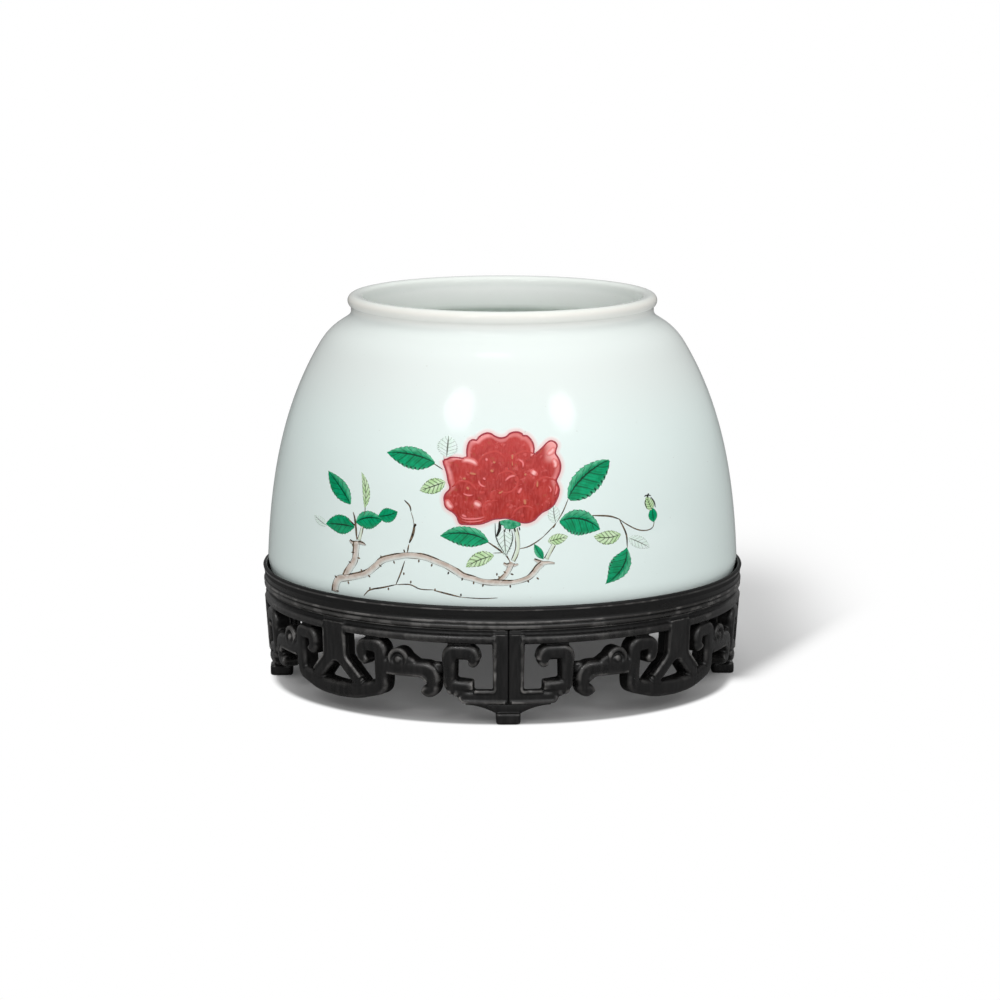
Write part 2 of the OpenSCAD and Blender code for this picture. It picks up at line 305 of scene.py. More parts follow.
base_round = bezier([
    [foot_ring_in_r - 1.6, foot_hollow], [foot_ring_in_r, foot_hollow], [foot_ring_in_r + 0.5, 0],
], 6)
pot_profile = np.concatenate([
    base, base_round, outside, lip, under_lip[1:-1], inside, floor_round[1:], floor_flat,
])
pot_profile[:, 1] += seat_z
pot = add_piece(
    "pot_glazed", *turned(pot_profile, ROUND_STEPS, closed=False), "pot", "porcelain", ["water_pot"],
)

# %% [markdown]
# The ring under the pot was turned from hardwood on a lathe. Its moulding is what the eye meets: a thin
# standing lip, a shallow hollow and two beads. Smoothing the CAD ring would blur them, so the profile is
# drawn again. It is a loop, which turns into a ring with no poles. Its corners are eased a little, as the
# tool and the wax leave them.

# %% Seat ring's profile
ring_low, ring_high = (np.array(corner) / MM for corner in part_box("seat_ring"))
core_z = ring_low[2]
stand_h = ring_high[2]
rim_r = ring_high[0]
rim_t = 1.0
rim_in_r = rim_r - rim_t
rim_z = stand_h - rim_t / 2
waist_r = rim_r - 0.45
apron_top = seat_z - 1.1
core_r = 55.8
core_in_r = core_r - 9.6
board_r = core_in_r + 4
board_t = 2.5
bead_gap = 0.07
bead_r = [0.65, 0.42]
bead_out = [rim_r - 0.25, rim_r - 0.15]
bead_mid = [apron_top + bead_gap + bead_r[0], apron_top + 2 * bead_gap + 2 * bead_r[0] + bead_r[1]]
EASE = 0.35
PROFILE_STEP = 0.28

beads = [arc(reach - r, middle, r, -80, 80, 11) for reach, middle, r in zip(bead_out, bead_mid, bead_r)]
hollow = bezier([[waist_r, bead_mid[1] + bead_r[1]], [waist_r - 0.05, rim_z - 1.6], [rim_r, rim_z]], 14)
rim = arc(rim_r - rim_t / 2, rim_z, rim_t / 2, 15, 180, 12)
under = bent([
    [core_in_r, core_z + 1, 0, 0], [core_in_r, core_z, EASE, 0], [core_r, core_z, EASE, 0],
    [core_r, apron_top, 0.1, 0], [bead_out[0] - bead_r[0], apron_top, 0, 0],
])[:, :2]
within = bent([
    [rim_in_r, rim_z - 1, 0, 0], [rim_in_r, seat_z, 0.2, 0], [board_r, seat_z, EASE, 0],
    [board_r, seat_z - board_t, 0.1, 0], [core_in_r, seat_z - board_t, EASE, 0],
    [core_in_r, core_z + 1, 0, 0],
])[:, :2]
ring_profile = even(np.concatenate([under, *beads, hollow, rim, within]), PROFILE_STEP, close=True)
print("ring profile:", len(ring_profile), "points")

# %% [markdown]
# The edges that stand proud are painted lighter, partly as wax and colour worn off and partly as a painted
# highlight. How proud a row of the profile stands is its height over a smoothed copy, kept as a mark for the
# finish. The Geometry node's pointiness could find edges too, but a mark can also name places: the hollow
# outside is marked for a painted shade, apart from one thin line close under the rim that is marked for a
# painted highlight.

# %% Seat ring
# how strongly rows above and below the low bead get their painted wear and highlight
WEAR_AND_HIGHLIGHT_ABOVE, WEAR_AND_HIGHLIGHT_BELOW = 1.2, 0.8
OUTSIDE_DEEP = 0.8
HOLLOW_SHADE_LOW = 1.65
HIGHLIGHT_LINE_LOW, HIGHLIGHT_LINE_HALF = 0.35, 0.32
HOLLOW_SHADE_MARK, HIGHLIGHT_LINE_MARK = -0.12, 0.13
ring_soft = sum(np.roll(ring_profile, k, axis=0) for k in range(-2, 3)) / 5
ring_proud = -((ring_profile - ring_soft) * sideways(ring_profile)).sum(1)
below_rim = rim_z - ring_profile[:, 1]
outer_rows = ring_profile[:, 0] > rim_r - OUTSIDE_DEEP
over_low_bead = below_rim < rim_z - bead_mid[0] - bead_r[0]
ring_proud = ring_proud * np.where(over_low_bead, WEAR_AND_HIGHLIGHT_ABOVE, WEAR_AND_HIGHLIGHT_BELOW)
# the hollow outside: a painted shade
ring_proud = np.where(outer_rows & (below_rim < HOLLOW_SHADE_LOW), HOLLOW_SHADE_MARK, ring_proud)
# one thin line under the rim: a painted highlight
ring_proud = np.where(outer_rows & (abs(below_rim - HIGHLIGHT_LINE_LOW) < HIGHLIGHT_LINE_HALF), HIGHLIGHT_LINE_MARK, ring_proud)
ring = add_piece(
    "seat_ring_turned", *turned(ring_profile, ROUND_STEPS, closed=True), "stand", "hardwood", ["seat_ring"],
    {"proud": np.repeat(ring_proud, ROUND_STEPS)},
)

# %% [markdown]
# The openwork apron is the carver's showpiece: scrolls, a hooked bird and a pendant, sawn out of a curved
# board and rounded over. Each strand is a rounded-box section carried along a route drawn flat, in degrees
# from the foot and millimetres over the foot bar, and laid on the cone of the apron's face. A bevelled curve
# would be quicker, but its section couldn't be crowned in front and flat behind.

# %% Carved strands
face_top_r = 61.0
face_slope = np.tan(np.radians(4))
apron_t = 4.5
foot_top = 5.1
drawn_h = apron_top - foot_top
QUARTER = 90
DEG_MM = face_top_r * np.pi / 180
LEAST_LEG = 1e-4
STRAND_STEP = 0.4
BACK_EDGE = 0.3
BLUNT = 0.02
KNOB_ROOT = -2


def on_face(x, z, deep):
    """A point of the flat drawing on the apron: x is wrapped round the cone, deep goes in from its face."""
    r = face_top_r - (apron_top - z) * face_slope - deep
    turn = x / face_top_r
    return np.stack([r * np.cos(turn), r * np.sin(turn), z], -1)


def divided(path, step):
    """A path with further points put in at equal steps, so that its bends keep the points they have."""
    length = np.concatenate([[0], np.cumsum(np.linalg.norm(np.diff(path[:, :2], axis=0), axis=1))])
    kept = np.r_[True, np.diff(length) > LEAST_LEG]
    path, length = path[kept], length[kept]
    more = np.linspace(0, length[-1], int(length[-1] / step) + 2)
    at = np.unique(np.concatenate([length, more]).round(4))
    return np.column_stack([np.interp(at, length, column) for column in path.T]), at


def strand(route, sunk=0, thin=0, edge=0.8, crown=0.12, tips=(0, 0)):
    """A strand along a route of (degrees, height, bend, width). Its face is a quarter circle of radius edge
    at each side and slightly crowned between them. A tip of 1 rounds that end off like a half circle."""
    route = np.asarray(route, float) * [DEG_MM, 1, 1, 1] + [0, foot_top, 0, 0]
    path, length = divided(bent(route), STRAND_STEP)
    half = path[:, 2] / 2
    for tip, left in zip(tips, (length, length[-1] - length)):
        near = np.clip(1 - left / half, 0, 1) * tip
        half = half * np.sqrt(np.maximum(1 - near**2, BLUNT))
    w = half[:, None]
    u = np.sin(np.linspace(-np.pi / 2, np.pi / 2, 15))
    fall = lambda r: r * (1 - np.sqrt(1 - np.clip((np.abs(u) * w - w + r) / r, 0, 1) ** 2))
    front = sunk + fall(np.minimum(edge, 0.9 * w)) + crown * u**2
    back = apron_t - thin - fall(np.minimum(BACK_EDGE, 0.9 * w))
    x, z = spread(path, half, np.concatenate([u, u[::-1]]))
    return tube(np.stack([x, z, np.concatenate([front, back[:, ::-1]], 1)], -1))


def knob(degrees, height, r, proud, drop):
    """A round boss on the face: a quarter-ellipse dome of radius r that stands proud of its foot by drop."""
    lift = np.linspace(0, np.pi / 2, 9)
    dome = np.column_stack([r * np.cos(lift), proud - drop + drop * np.sin(lift)])
    profile = np.concatenate([at_height([0, r], KNOB_ROOT), dome[:-1], [[0, proud]]])
    points, faces = turned(profile, 24, closed=False)
    x, z = points[:, 0] + degrees * DEG_MM, points[:, 1] + height + foot_top
    return np.column_stack([x, z, -points[:, 2]]), faces


print("drawing height", round(drawn_h, 1), "mm; a degree of the face is", round(DEG_MM, 3), "mm")

# %% [markdown]
# Half a quarter is drawn, from the middle of a foot to the middle of the pendant, because the pattern is
# repeated as its mirror image. The strands overlap where the carver would leave them joined. A row of a
# route is degrees, height, bend and width.

# %% Measures of the drawing
POST_W = 3.9
STEM_W = 3.6
BAR_W = 3.1
HEEL_W = 2.4
SCROLL_W = 3.8
CURL_W = 3.1
NECK_W = 4.1
TAIL_W = 3.4
LOBE_W = 4.0
LEG_W = 3.3
LINK_W = 2.2
CAP_W = 1.6
POST_BEAD = 3.05
STEM_BEAD = 41.9
EYE = np.array([26.5, 10.2])
HEAD_R = 2.35
MIDDLE = QUARTER / 2
post_mid = (0.01 + POST_W / 2) / DEG_MM
stem_mid = MIDDLE - (STEM_W / 2 - 0.1) / DEG_MM
bar_v = BAR_W / 2
edge_v = drawn_h - 2.6
post_v = drawn_h - 1.25
cap_v = drawn_h - 0.05 - CAP_W / 2
print("half a quarter is", round(MIDDLE * DEG_MM, 1), "mm wide")

# %% [markdown]
# At the foot stand half a post and a bar that turns up in a heel. On the bar's end rises a square scroll,
# which curls in at its top. Half of the pendant's stem closes the drawing at the other side. All this could
# be one outline cut from a plate, but as strands each part has its own width and roundness.

# %% Post, stem and foot scroll
def uprights():
    """Half a foot post and half a pendant stem: straight strands with nearly flat faces."""
    return [
        strand([[post_mid, 0, 0, POST_W], [post_mid, post_v, 0, POST_W]], sunk=0.25, edge=0.35, crown=0.05),
        strand([[stem_mid, 7.4, 0, STEM_W], [stem_mid, post_v, 0, STEM_W]], sunk=0.2, edge=0.3, crown=0),
    ]


def foot_scroll():
    """The bar with a round tip, the heel that turns up from it, a bead along both, and the scroll."""
    bar = strand([[0.1, bar_v, 0, BAR_W], [11.9, bar_v, 0, BAR_W]], sunk=0.25, tips=(0, 1))
    heel = strand([[9.9, 1.8, 0, HEEL_W], [12.2, 3.4, 0, HEEL_W]], sunk=0.3, tips=(0, 1))
    bead = strand([
        [0.5, 0.55, 0, 0.9], [11.1, 0.55, 0.8, 1.0], [11.5, 1.7, 0, 0.9],
    ], sunk=-0.05, thin=2.5, edge=0.6)
    scroll = strand([
        [8.4, 4.4, 0, 2.5], [14, 4.4, 0.9, 3.3], [14, 12.9, 1.4, SCROLL_W],
        [8.3, 12.9, 1.7, SCROLL_W], [8.3, 10.3, 0.8, CURL_W], [9.3, 9.9, 0, 2.3],
    ], edge=1.1, tips=(0.5, 1))
    return [bar, heel, bead, scroll]


half = uprights() + foot_scroll()
print("at the foot:", len(half), "shells")

# %% [markdown]
# Between the scrolls a hooked bird looks towards the pendant. Its eye is a dome in a sunk disc with a raised
# rim, which is a strand bent into a ring, because that is simpler than cutting the disc out of the head. The
# pendant's lower edge rises into a second scroll, and a slanting leg joins it to the stem.

# %% Bird and pendant
def bird():
    """Neck and hooked tail in one strand, the line of the jaw, the cheek, and the eye."""
    turn = np.radians(np.arange(0, 391, 30))
    around = np.column_stack([EYE[0] + HEAD_R * np.cos(turn) / DEG_MM, EYE[1] + HEAD_R * np.sin(turn)])
    neck_and_tail = strand([
        [30.6, 8.05, 0, NECK_W], [18, 8.05, 2.4, NECK_W], [18, 2.8, 1.4, TAIL_W], [20.9, 2.6, 0, 3.1],
    ], edge=1.2, crown=0.2, tips=(0, 1))
    jaw = strand([
        [29.6, 6.7, 0, 1.2], [20.6, 6.75, 1.2, 1.3], [19.3, 5.2, 0, 0.9],
    ], sunk=-0.12, thin=2, edge=0.7)
    cheek = strand([[22.6, 9.2, 0, 2.2], [25.2, 10.5, 0, 3.0]], sunk=0.25, edge=0.9)
    eye_rim = strand([[x, z, 0.6, 1.3] for x, z in around], sunk=-0.05, edge=0.6)
    disc = knob(*EYE, HEAD_R, -0.75, 0.1)
    eye = knob(EYE[0], EYE[1] - 0.15, 1.1, 0.2, 0.8)
    return [neck_and_tail, jaw, cheek, eye_rim, disc, eye]


def pendant():
    """The lower edge that rises into the pendant's scroll, and the leg of the stem."""
    lobe = strand([
        [MIDDLE + 0.5, 0.3, 0, LOBE_W], [39, 0.6, 2.2, LOBE_W], [31.4, 2.6, 1.4, SCROLL_W],
        [31.4, 12.9, 1.5, SCROLL_W], [36.8, 12.9, 1.7, 3.5], [36.8, 9.3, 1.0, CURL_W], [35.0, 9.1, 0, 2.2],
    ], edge=1.1, tips=(0, 1))
    leg = strand([[43.9, 8.9, 0, LEG_W], [37.6, 2.6, 0, LEG_W]], sunk=0.2)
    return [lobe, leg]


half += bird() + pendant()
print("with the bird and the pendant:", len(half), "shells")

# %% [markdown]
# A bead runs round the opening: under the band, down the foot post to the bar, and down the pendant's stem.
# Links that lie back from the face tie the scrolls to the band and to the bird, and low caps carry the
# band's hollow across the tops of post and stem. They are strands too, only thinner or set further back, so
# no new kind of form is needed.

# %% Beads, links and caps
def level_strand(start, end, height, width, **form):
    """A straight strand that lies level."""
    return strand([[start, height, 0, width], [end, height, 0, width]], **form)


def small_work():
    """The bead round the opening, two knobs at the heel, the links and the caps."""
    bead = strand([
        [37.2, 4.3, 0, 0.9], [41.6, 8.8, 1.2, 1.0], [STEM_BEAD, edge_v, 1.5, 1.3],
        [POST_BEAD, edge_v, 1.5, 1.5], [POST_BEAD, 3.1, 1.0, 1.1], [8, 3.1, 0, 0.8],
    ], sunk=-0.14, thin=2.8, edge=0.65)
    knobs = [knob(12.3, 2.7, 1.0, 0.1, 0.7), knob(13.7, 3.2, 1.0, 0.05, 0.6)]
    link_rows = [(8.8, 14.4, 14.9, LINK_W), (31.6, 35.8, 14.9, LINK_W), (14.6, 18.4, 8.6, LINK_W + 0.4)]
    links = [level_strand(*row, sunk=1.1, thin=1.0) for row in link_rows]
    cap_ends = [(0.05, POST_BEAD + 0.5), (STEM_BEAD - 0.5, MIDDLE + 0.5)]
    caps = [level_strand(*ends, cap_v, CAP_W, sunk=0.8, edge=0.3) for ends in cap_ends]
    return [bead] + knobs + links + caps


half += small_work()
print("half a quarter:", len(half), "shells")

# %% [markdown]
# Along the top runs a band with a hollow over a round lower edge. Strands laid side by side would leave
# seams in the hollow, so it is one section carried along the face.

# %% Band
SECTION_STEP = 0.3
band_low = apron_top - 3.6
band_face = np.array([
    [4.9, 0.3], [4.9, 3.55], [0.55, 3.55], [0.95, 3.2], [1.1, 2.8], [0.95, 2.4], [0.55, 2.1],
    [0.2, 1.9], [-0.02, 1.65], [-0.14, 1.3], [-0.15, 0.95], [-0.08, 0.55], [0.12, 0.22], [0.45, 0.02],
    [0.9, 0],
])


def band():
    """The section, as depth and height, carried from the foot post's bead to the stem's."""
    section = even(band_face, SECTION_STEP, close=True)
    x = np.linspace(POST_BEAD, STEM_BEAD, 80)[:, None] * DEG_MM
    x, z, deep = np.broadcast_arrays(x, band_low + section[:, 1], section[:, 0])
    return tube(np.stack([x, z, deep], -1))


half.append(band())
print("with the band:", len(half), "shells")

# %% [markdown]
# Booleans could join the overlapping shells, but every crease between them would stay hard. A voxel remesh
# melts them into one skin instead, and a few rounds of smoothing soften the steps and the inner corners as
# rasps and wax do.

# %% Melting shells into one skin
SOFTEN, REGROW = 0.5, -0.46
WEAR_ROUNDS = 6


def read_array(items, key, width, kind):
    """One property of every item of a mesh, as an array of this width."""
    values = np.empty(len(items) * width, kind)
    items.foreach_get(key, values)
    return values.reshape(-1, width)


def remeshed(points, faces, voxel):
    """The points, quads and edges of one skin round overlapping shells."""
    mesh = mesh_of("melt", points, faces)
    rough = in_scene("melt", mesh)
    remesh = rough.modifiers.new("skin", "REMESH")
    remesh.mode = "VOXEL"
    remesh.voxel_size = voxel
    skin = rough.evaluated_get(bpy.context.evaluated_depsgraph_get()).to_mesh()
    out = read_array(skin.vertices, "co", 3, np.float32).astype(float)
    quads = read_array(skin.loops, "vertex_index", 1, np.int32).reshape(-1, 4)
    edges = read_array(skin.edges, "vertices", 2, np.int32)
    bpy.data.objects.remove(rough)
    bpy.data.meshes.remove(mesh)
    return out, quads, edges


def melted(points, faces, voxel, rounds):
    """A remeshed skin after rounds of smoothing. In each round a point moves half way to the middle of its
    neighbours and then back out a little, so that nothing shrinks. It also tells how proud each point
    stands: its height over a copy that was smoothed away."""
    out, quads, edges = remeshed(points, faces, voxel)
    ends, others = np.concatenate([edges, edges[:, ::-1]]).T
    count = np.bincount(ends, minlength=len(out))[:, None]

    def relaxed(p, share):
        """Each point moved by a share of its way to the middle of its neighbours."""
        sums = [np.bincount(ends, p[others, k], len(p)) for k in range(3)]
        return p + share * (np.column_stack(sums) / count - p)

    for _ in range(rounds):
        out = relaxed(relaxed(out, SOFTEN), REGROW)
    worn = out
    for _ in range(WEAR_ROUNDS):
        worn = relaxed(worn, 1)
    corner = out[quads]
    across = np.cross(corner[:, 2] - corner[:, 0], corner[:, 3] - corner[:, 1])
    normals = [np.bincount(quads.ravel(), np.repeat(across[:, k], 4), len(out)) for k in range(3)]
    proud = ((out - worn) * unit(np.column_stack(normals))).sum(1)
    return out, quads, proud


print("each round of smoothing:", SOFTEN, "in and", -REGROW, "back out")

# %% [markdown]
# The half and its mirror image make one quarter, which is laid on the cone and melted. Each quarter could be
# melted by itself, but the remesh is slow, so its points are turned for the other three. Close to the joint
# at each post nothing is worn bright, because dirt and wax gather there.

# %% Apron quarters
APRON_VOXEL = 0.26
APRON_ROUNDS = 3
JOINT_REACH, JOINT_MARK = 0.9, -0.06


def mirrored(shell):
    """The same shell reflected in the middle of the quarter, with its faces turned to point outwards."""
    flat, faces = shell
    return flat * [-1, 1, 1] + [QUARTER * DEG_MM, 0, 0], [part[:, ::-1] for part in faces]


def turned_by(points, degrees):
    """Points turned about the upright axis."""
    turn = np.radians(degrees)
    x, y, z = points.T
    return np.column_stack([x * np.cos(turn) - y * np.sin(turn), x * np.sin(turn) + y * np.cos(turn), z])


def add_carved(name, k, points, quads, proud):
    """A carved piece of the stand, turned to the quarter k from the front and standing for its own node."""
    points = turned_by(points, QUARTER * (k - 1))
    return add_piece(f"{name}_carved", points, [quads], "stand", "hardwood", [name], {"proud": proud})


flat, faces = joined(half + [mirrored(shell) for shell in half])
points, quads, proud = melted(on_face(*flat.T), faces, APRON_VOXEL, APRON_ROUNDS)
proud = np.where(points[:, :2].min(1) < JOINT_REACH, JOINT_MARK, proud)
wooden = [ring]
for k, quarter in enumerate(["front_right", "back_right", "back_left", "front_left"]):
    wooden.append(add_carved(f"apron_{quarter}", k, points, quads, proud))

# %% [markdown]
# Under each post stands a small block foot with a bracket that curves out to both sides. The block is a
# rounded box, and the bracket a section that thins towards its ends. A cube with a Bevel modifier would do
# for the block alone. Melting both together also softens the corner where they meet.

# %% Feet
foot_w, foot_deep, foot_h = 6.0, 5.8, 2.9
foot_r = face_top_r - drawn_h * face_slope
bracket_reach = 10.7
bracket_set = 1.0
bracket_top = foot_top + 0.3
bracket_low = foot_h - 0.4
bracket_rise = foot_top - 0.5 - foot_h + 0.4
FOOT_VOXEL = 0.16
FOOT_ROUNDS = 4


def squared_off(value, power):
    """A sine or cosine raised to a power below 1, its sign kept: a circle becomes a rounded square."""
    return np.sign(value) * np.abs(value) ** power


def rounded_box(size, middle, power):
    """A box with rounded edges: a sphere whose sines and cosines are squared off."""
    up = np.linspace(-np.pi / 2, np.pi / 2, 25)[1:-1, None]
    turn = np.linspace(0, 2 * np.pi, 48, endpoint=False)
    ring_r = squared_off(np.cos(up), power)
    x, y = (ring_r * squared_off(wave(turn), power) for wave in (np.cos, np.sin))
    z = np.broadcast_to(squared_off(np.sin(up), power), x.shape)
    points, faces = tube(np.stack([x, y, z], -1), [[0, 0, -1], [0, 0, 1]])
    return points * np.array(size) / 2 + middle, faces


def bracket():
    """A rounded section carried along the foot's arc. Its lower edge rises as the square of the way out."""
    out = np.linspace(-1, 1, 61)[:, None]
    away = np.clip((np.abs(out) * bracket_reach - foot_w / 2) / (bracket_reach - foot_w / 2), 0, 1)
    low = bracket_low + bracket_rise * (1 - (1 - away) ** 2)
    a = np.linspace(0, 2 * np.pi, 20, endpoint=False)
    z = (low + bracket_top) / 2 + (bracket_top - low) / 2 * squared_off(np.sin(a), 0.5)
    r = foot_r - (apron_t + bracket_set) / 2 + (apron_t - bracket_set) / 2 * squared_off(np.cos(a), 0.5)
    turn = out * bracket_reach / foot_r
    return tube(np.stack([r * np.cos(turn), r * np.sin(turn), z], -1))


block = rounded_box([foot_deep, foot_w, foot_h], [foot_r - foot_deep / 2, 0, foot_h / 2], 2 / 7)
points, quads, proud = melted(*joined([block, bracket()]), FOOT_VOXEL, FOOT_ROUNDS)
points[:, 2] = np.maximum(points[:, 2], 0)
for k, where in enumerate(["front", "right", "back", "left"]):
    wooden.append(add_carved(f"foot_{where}", k, points, quads, proud))

# %% [markdown]
# Finishes are node trees, and most of their work is arithmetic. Nodes could be added and linked one by one,
# but the sums would be hard to read. So a small class wraps a socket, sums and products of masks are written
# as plain expressions, and each operation adds its own Math node.

# %% Shader expressions
class Wire:
    """One output socket of a finish. Python's operators add Math nodes behind it."""

    def __init__(self, finish, socket):
        self.finish = finish
        self.socket = socket

    def math(self, operation, first, second):
        """A Math node on two values, each a number or a wire."""
        return self.finish.node("ShaderNodeMath", {"operation": operation}, {0: first, 1: second})

    def __add__(self, other):
        return self.math("ADD", self, other)

    __radd__ = __add__

    def __sub__(self, other):
        return self.math("SUBTRACT", self, other)

    def __rsub__(self, other):
        return self.math("SUBTRACT", other, self)

    def __mul__(self, other):
        return self.math("MULTIPLY", self, other)

    __rmul__ = __mul__

    def __abs__(self):
        return self.math("ABSOLUTE", self, 0)

    def fraction(self):
        """What is left above the whole number, which repeats from 0 to 1."""
        return self.math("FRACT", self, 0)

    def step(self, low, high):
        """A soft step from 0 at low to 1 at high, or from 1 down to 0 where low is the greater."""
        limits = {0: self, 1: min(low, high), 2: max(low, high), 3: float(low > high), 4: float(low < high)}
        return self.finish.node("ShaderNodeMapRange", {"interpolation_type": "SMOOTHSTEP"}, limits)


class Finish:
    """The node tree of a material or of the room. node() adds any node: its settings first, then its
    sockets, which take numbers, colours or wires."""

    def __init__(self, name, kind="materials"):
        self.holder = getattr(bpy.data, kind).new(name)
        self.holder.use_nodes = True
        self.tree = self.holder.node_tree
        self.tree.nodes.clear()

    def node(self, kind, settings={}, sockets={}, out=0):
        """The new node's output as a wire, or the node itself where it has none."""
        made = self.tree.nodes.new(kind)
        for key, value in settings.items():
            setattr(made, key, value)
        for key, value in sockets.items():
            if isinstance(value, Wire):
                self.tree.links.new(value.socket, made.inputs[key])
            else:
                made.inputs[key].default_value = value
        return Wire(self, made.outputs[out]) if made.outputs else made

    def place(self, scale=(1, 1, 1)):
        """Object coordinates, stretched for a pattern that runs one way."""
        where = self.node("ShaderNodeTexCoord", out="Object")
        return self.node("ShaderNodeMapping", {}, {"Vector": where, "Scale": scale})

    def axis(self, name):
        """One of the object coordinates by itself."""
        return self.node("ShaderNodeSeparateXYZ", {}, {0: self.place()}, out=name)

    def noise(self, size, scale=(1, 1, 1), detail=3.0, seed=0.0):
        """Cloudy noise with lumps of about this size in millimetres."""
        moved = {"Vector": self.place(scale), "Location": (seed, seed, seed)}
        where = self.node("ShaderNodeMapping", {}, moved)
        sockets = {"Vector": where, "Scale": 1 / (size * MM), "Detail": detail}
        return self.node("ShaderNodeTexNoise", {}, sockets)

    def mark(self, name):
        """A number that is kept at the piece's points."""
        return self.node("ShaderNodeAttribute", {"attribute_name": name}, out="Fac")

    def rays(self, *kinds):
        """1 for rays of these kinds, and 0 for all others."""
        found = [self.node("ShaderNodeLightPath", out=f"Is {kind} Ray") for kind in kinds]
        return sum(found[1:], found[0])

    def mix(self, share, first, second):
        """Two colours mixed, from the first at 0 to the second at 1."""
        return self.node("ShaderNodeMix", {"data_type": "RGBA"}, {0: share, 6: first, 7: second}, out=2)

    def bump(self, height, distance, strength=1.0):
        """Bumps from a height of 0 to 1, which stands for this distance in millimetres."""
        sockets = {"Strength": strength, "Distance": distance * MM, "Height": height}
        return self.node("ShaderNodeBump", {}, sockets)

    def surface(self, **sockets):
        """The finish's one surface shader, under the names of its sockets with spaces as underscores."""
        named = {key.replace("_", " "): value for key, value in sockets.items()}
        shader = self.node("ShaderNodeBsdfPrincipled", {}, named)
        self.node("ShaderNodeOutputMaterial", {}, {"Surface": shader})
        return self.holder


def paint(red, green, blue):
    """A colour given as 8-bit screen values, made linear for the shader."""
    screen = np.array([red, green, blue]) / 255
    linear = np.where(screen <= 0.04045, screen / 12.92, ((screen + 0.055) / 1.055) ** 2.4)
    return (*linear, 1)


def coat(piece, material):
    """Gives a piece one material."""
    piece.data.materials.clear()
    piece.data.materials.append(material)


print("a mid grey is", [round(v, 3) for v in paint(128, 128, 128)[:3]])

# %% [markdown]
# The wood is a dense dark hardwood under wax. Its grain is straight and fine, so noise is stretched along
# the way the pieces were sawn, with darker pores. A Wave texture would give bolder rings than such wood
# shows. Where the pieces' marks say that an edge stands proud it is painted lighter, in places and most on
# the left: partly wear, and partly a painted highlight, strongest on the left where the key light falls.
# The hollows are painted dark and duller, a painted shade that also stands for old wax in the joints.

# %% Waxed hardwood
GRAIN, PORE, KNOCK, RUB = 0.9, 0.35, 5, 9
PORE_TONE = paint(9, 7, 7)
SHADE_AND_OLD_WAX = paint(4, 4, 4)


def waxed_wood(name, dark, light, worn, grain=(1, 1, 0.12), sheen=0.25):
    """Fine stretched noise for the grain, finer noise for the pores, slow noise for the rubbed wax, and
    the mark of how proud a point stands: proud edges painted lighter as wear and as a painted highlight,
    and hollows painted dark as a painted shade."""
    wood = Finish(name)
    streak = wood.noise(GRAIN, grain, 4).step(0.35, 0.7)
    pores = wood.noise(PORE, grain, 2, seed=3.0).step(0.6, 0.72)
    rubbed = wood.noise(RUB, seed=7.0).step(0.3, 0.7)
    knocked = wood.noise(KNOCK, seed=2.0).step(0.48, 0.62)
    edge = wood.mark("proud").step(0.035, 0.12)
    # hollows and creases: a painted shade, and old wax in the joints
    hollow = wood.mark("proud").step(-0.02, -0.1)
    # lighter towards the left: a painted highlight from the key light
    left_highlight_share = wood.axis("X").step(0.06, -0.03)
    colour = wood.mix(streak, dark, light)
    colour = wood.mix(pores * 0.7, colour, PORE_TONE)
    # proud edges painted lighter: partly wear, partly a painted highlight
    colour = wood.mix(edge * (0.12 + 0.55 * knocked + 0.2 * left_highlight_share), colour, worn)
    # hollows painted dark: a painted shade
    colour = wood.mix(hollow * 0.8, colour, SHADE_AND_OLD_WAX)
    gloss = sheen + 0.1 * rubbed + 0.12 * pores + 0.3 * hollow
    relief = wood.bump(streak * 0.4 - pores, 0.02, 0.5)
    return wood.surface(Base_Color=colour, Roughness=gloss, Normal=relief, Specular_IOR_Level=0.5)


# the third colour is the proud edges' wear and painted highlight
stand_wood = waxed_wood("waxed_hardwood", paint(14, 14, 14), paint(29, 28, 28), paint(118, 116, 114))
ring_wood = waxed_wood(
    "waxed_ring", paint(7, 7, 7), paint(17, 16, 15), paint(112, 110, 108), grain=(0.12, 1, 1),
)
peg_wood = waxed_wood(
    "raw_peg_wood", paint(140, 104, 62), paint(176, 138, 90), paint(190, 152, 104), sheen=0.55,
)
for piece in wooden:
    coat(piece, ring_wood if piece == ring else stand_wood)
coat(nodes["seat_board"], ring_wood)
coat(nodes["apron_pegs"], peg_wood)
print("wooden pieces:", len(wooden) + 2)

# %% [markdown]
# The glaze is thick and clear with a breath of green, and greyer towards the shoulder. Under the lip it is
# painted whiter, a painted light against the lip's shade, and inside the mouth it is painted whiter still and
# lightest near the rim, a painted light where light falls in. The lip itself is creamy. The foot ring is bare
# biscuit. Such places follow the turning, so marks for them are kept on the rows of the profile.

# %% Places on the pot
# the rows under the lip are painted whiter: painted light against the lip's shade
UNDER_LIP_LIGHT_HEIGHT, UNDER_LIP_LIGHT_WIDTH = neck_h + 1.4, 1.4
LIP_HEIGHT, LIP_WIDTH = pot_h - 0.7, 1.3
BARE_HEIGHT = 0.7
row_r, row_h = pot_profile[:, 0], pot_profile[:, 1] - seat_z
lip_row = len(base) + len(base_round) + len(outside) + len(lip) // 2


def hump(height, width):
    """A soft hump over the rows: e to the minus square of the way from its height over its width."""
    return np.exp(-(((row_h - height) / width) ** 2))


def row_marks(values):
    """A number for each profile row, repeated round the pot, with one each for the two poles."""
    return np.concatenate([np.repeat(values[1:-1], ROUND_STEPS), values[[0, -1]]])


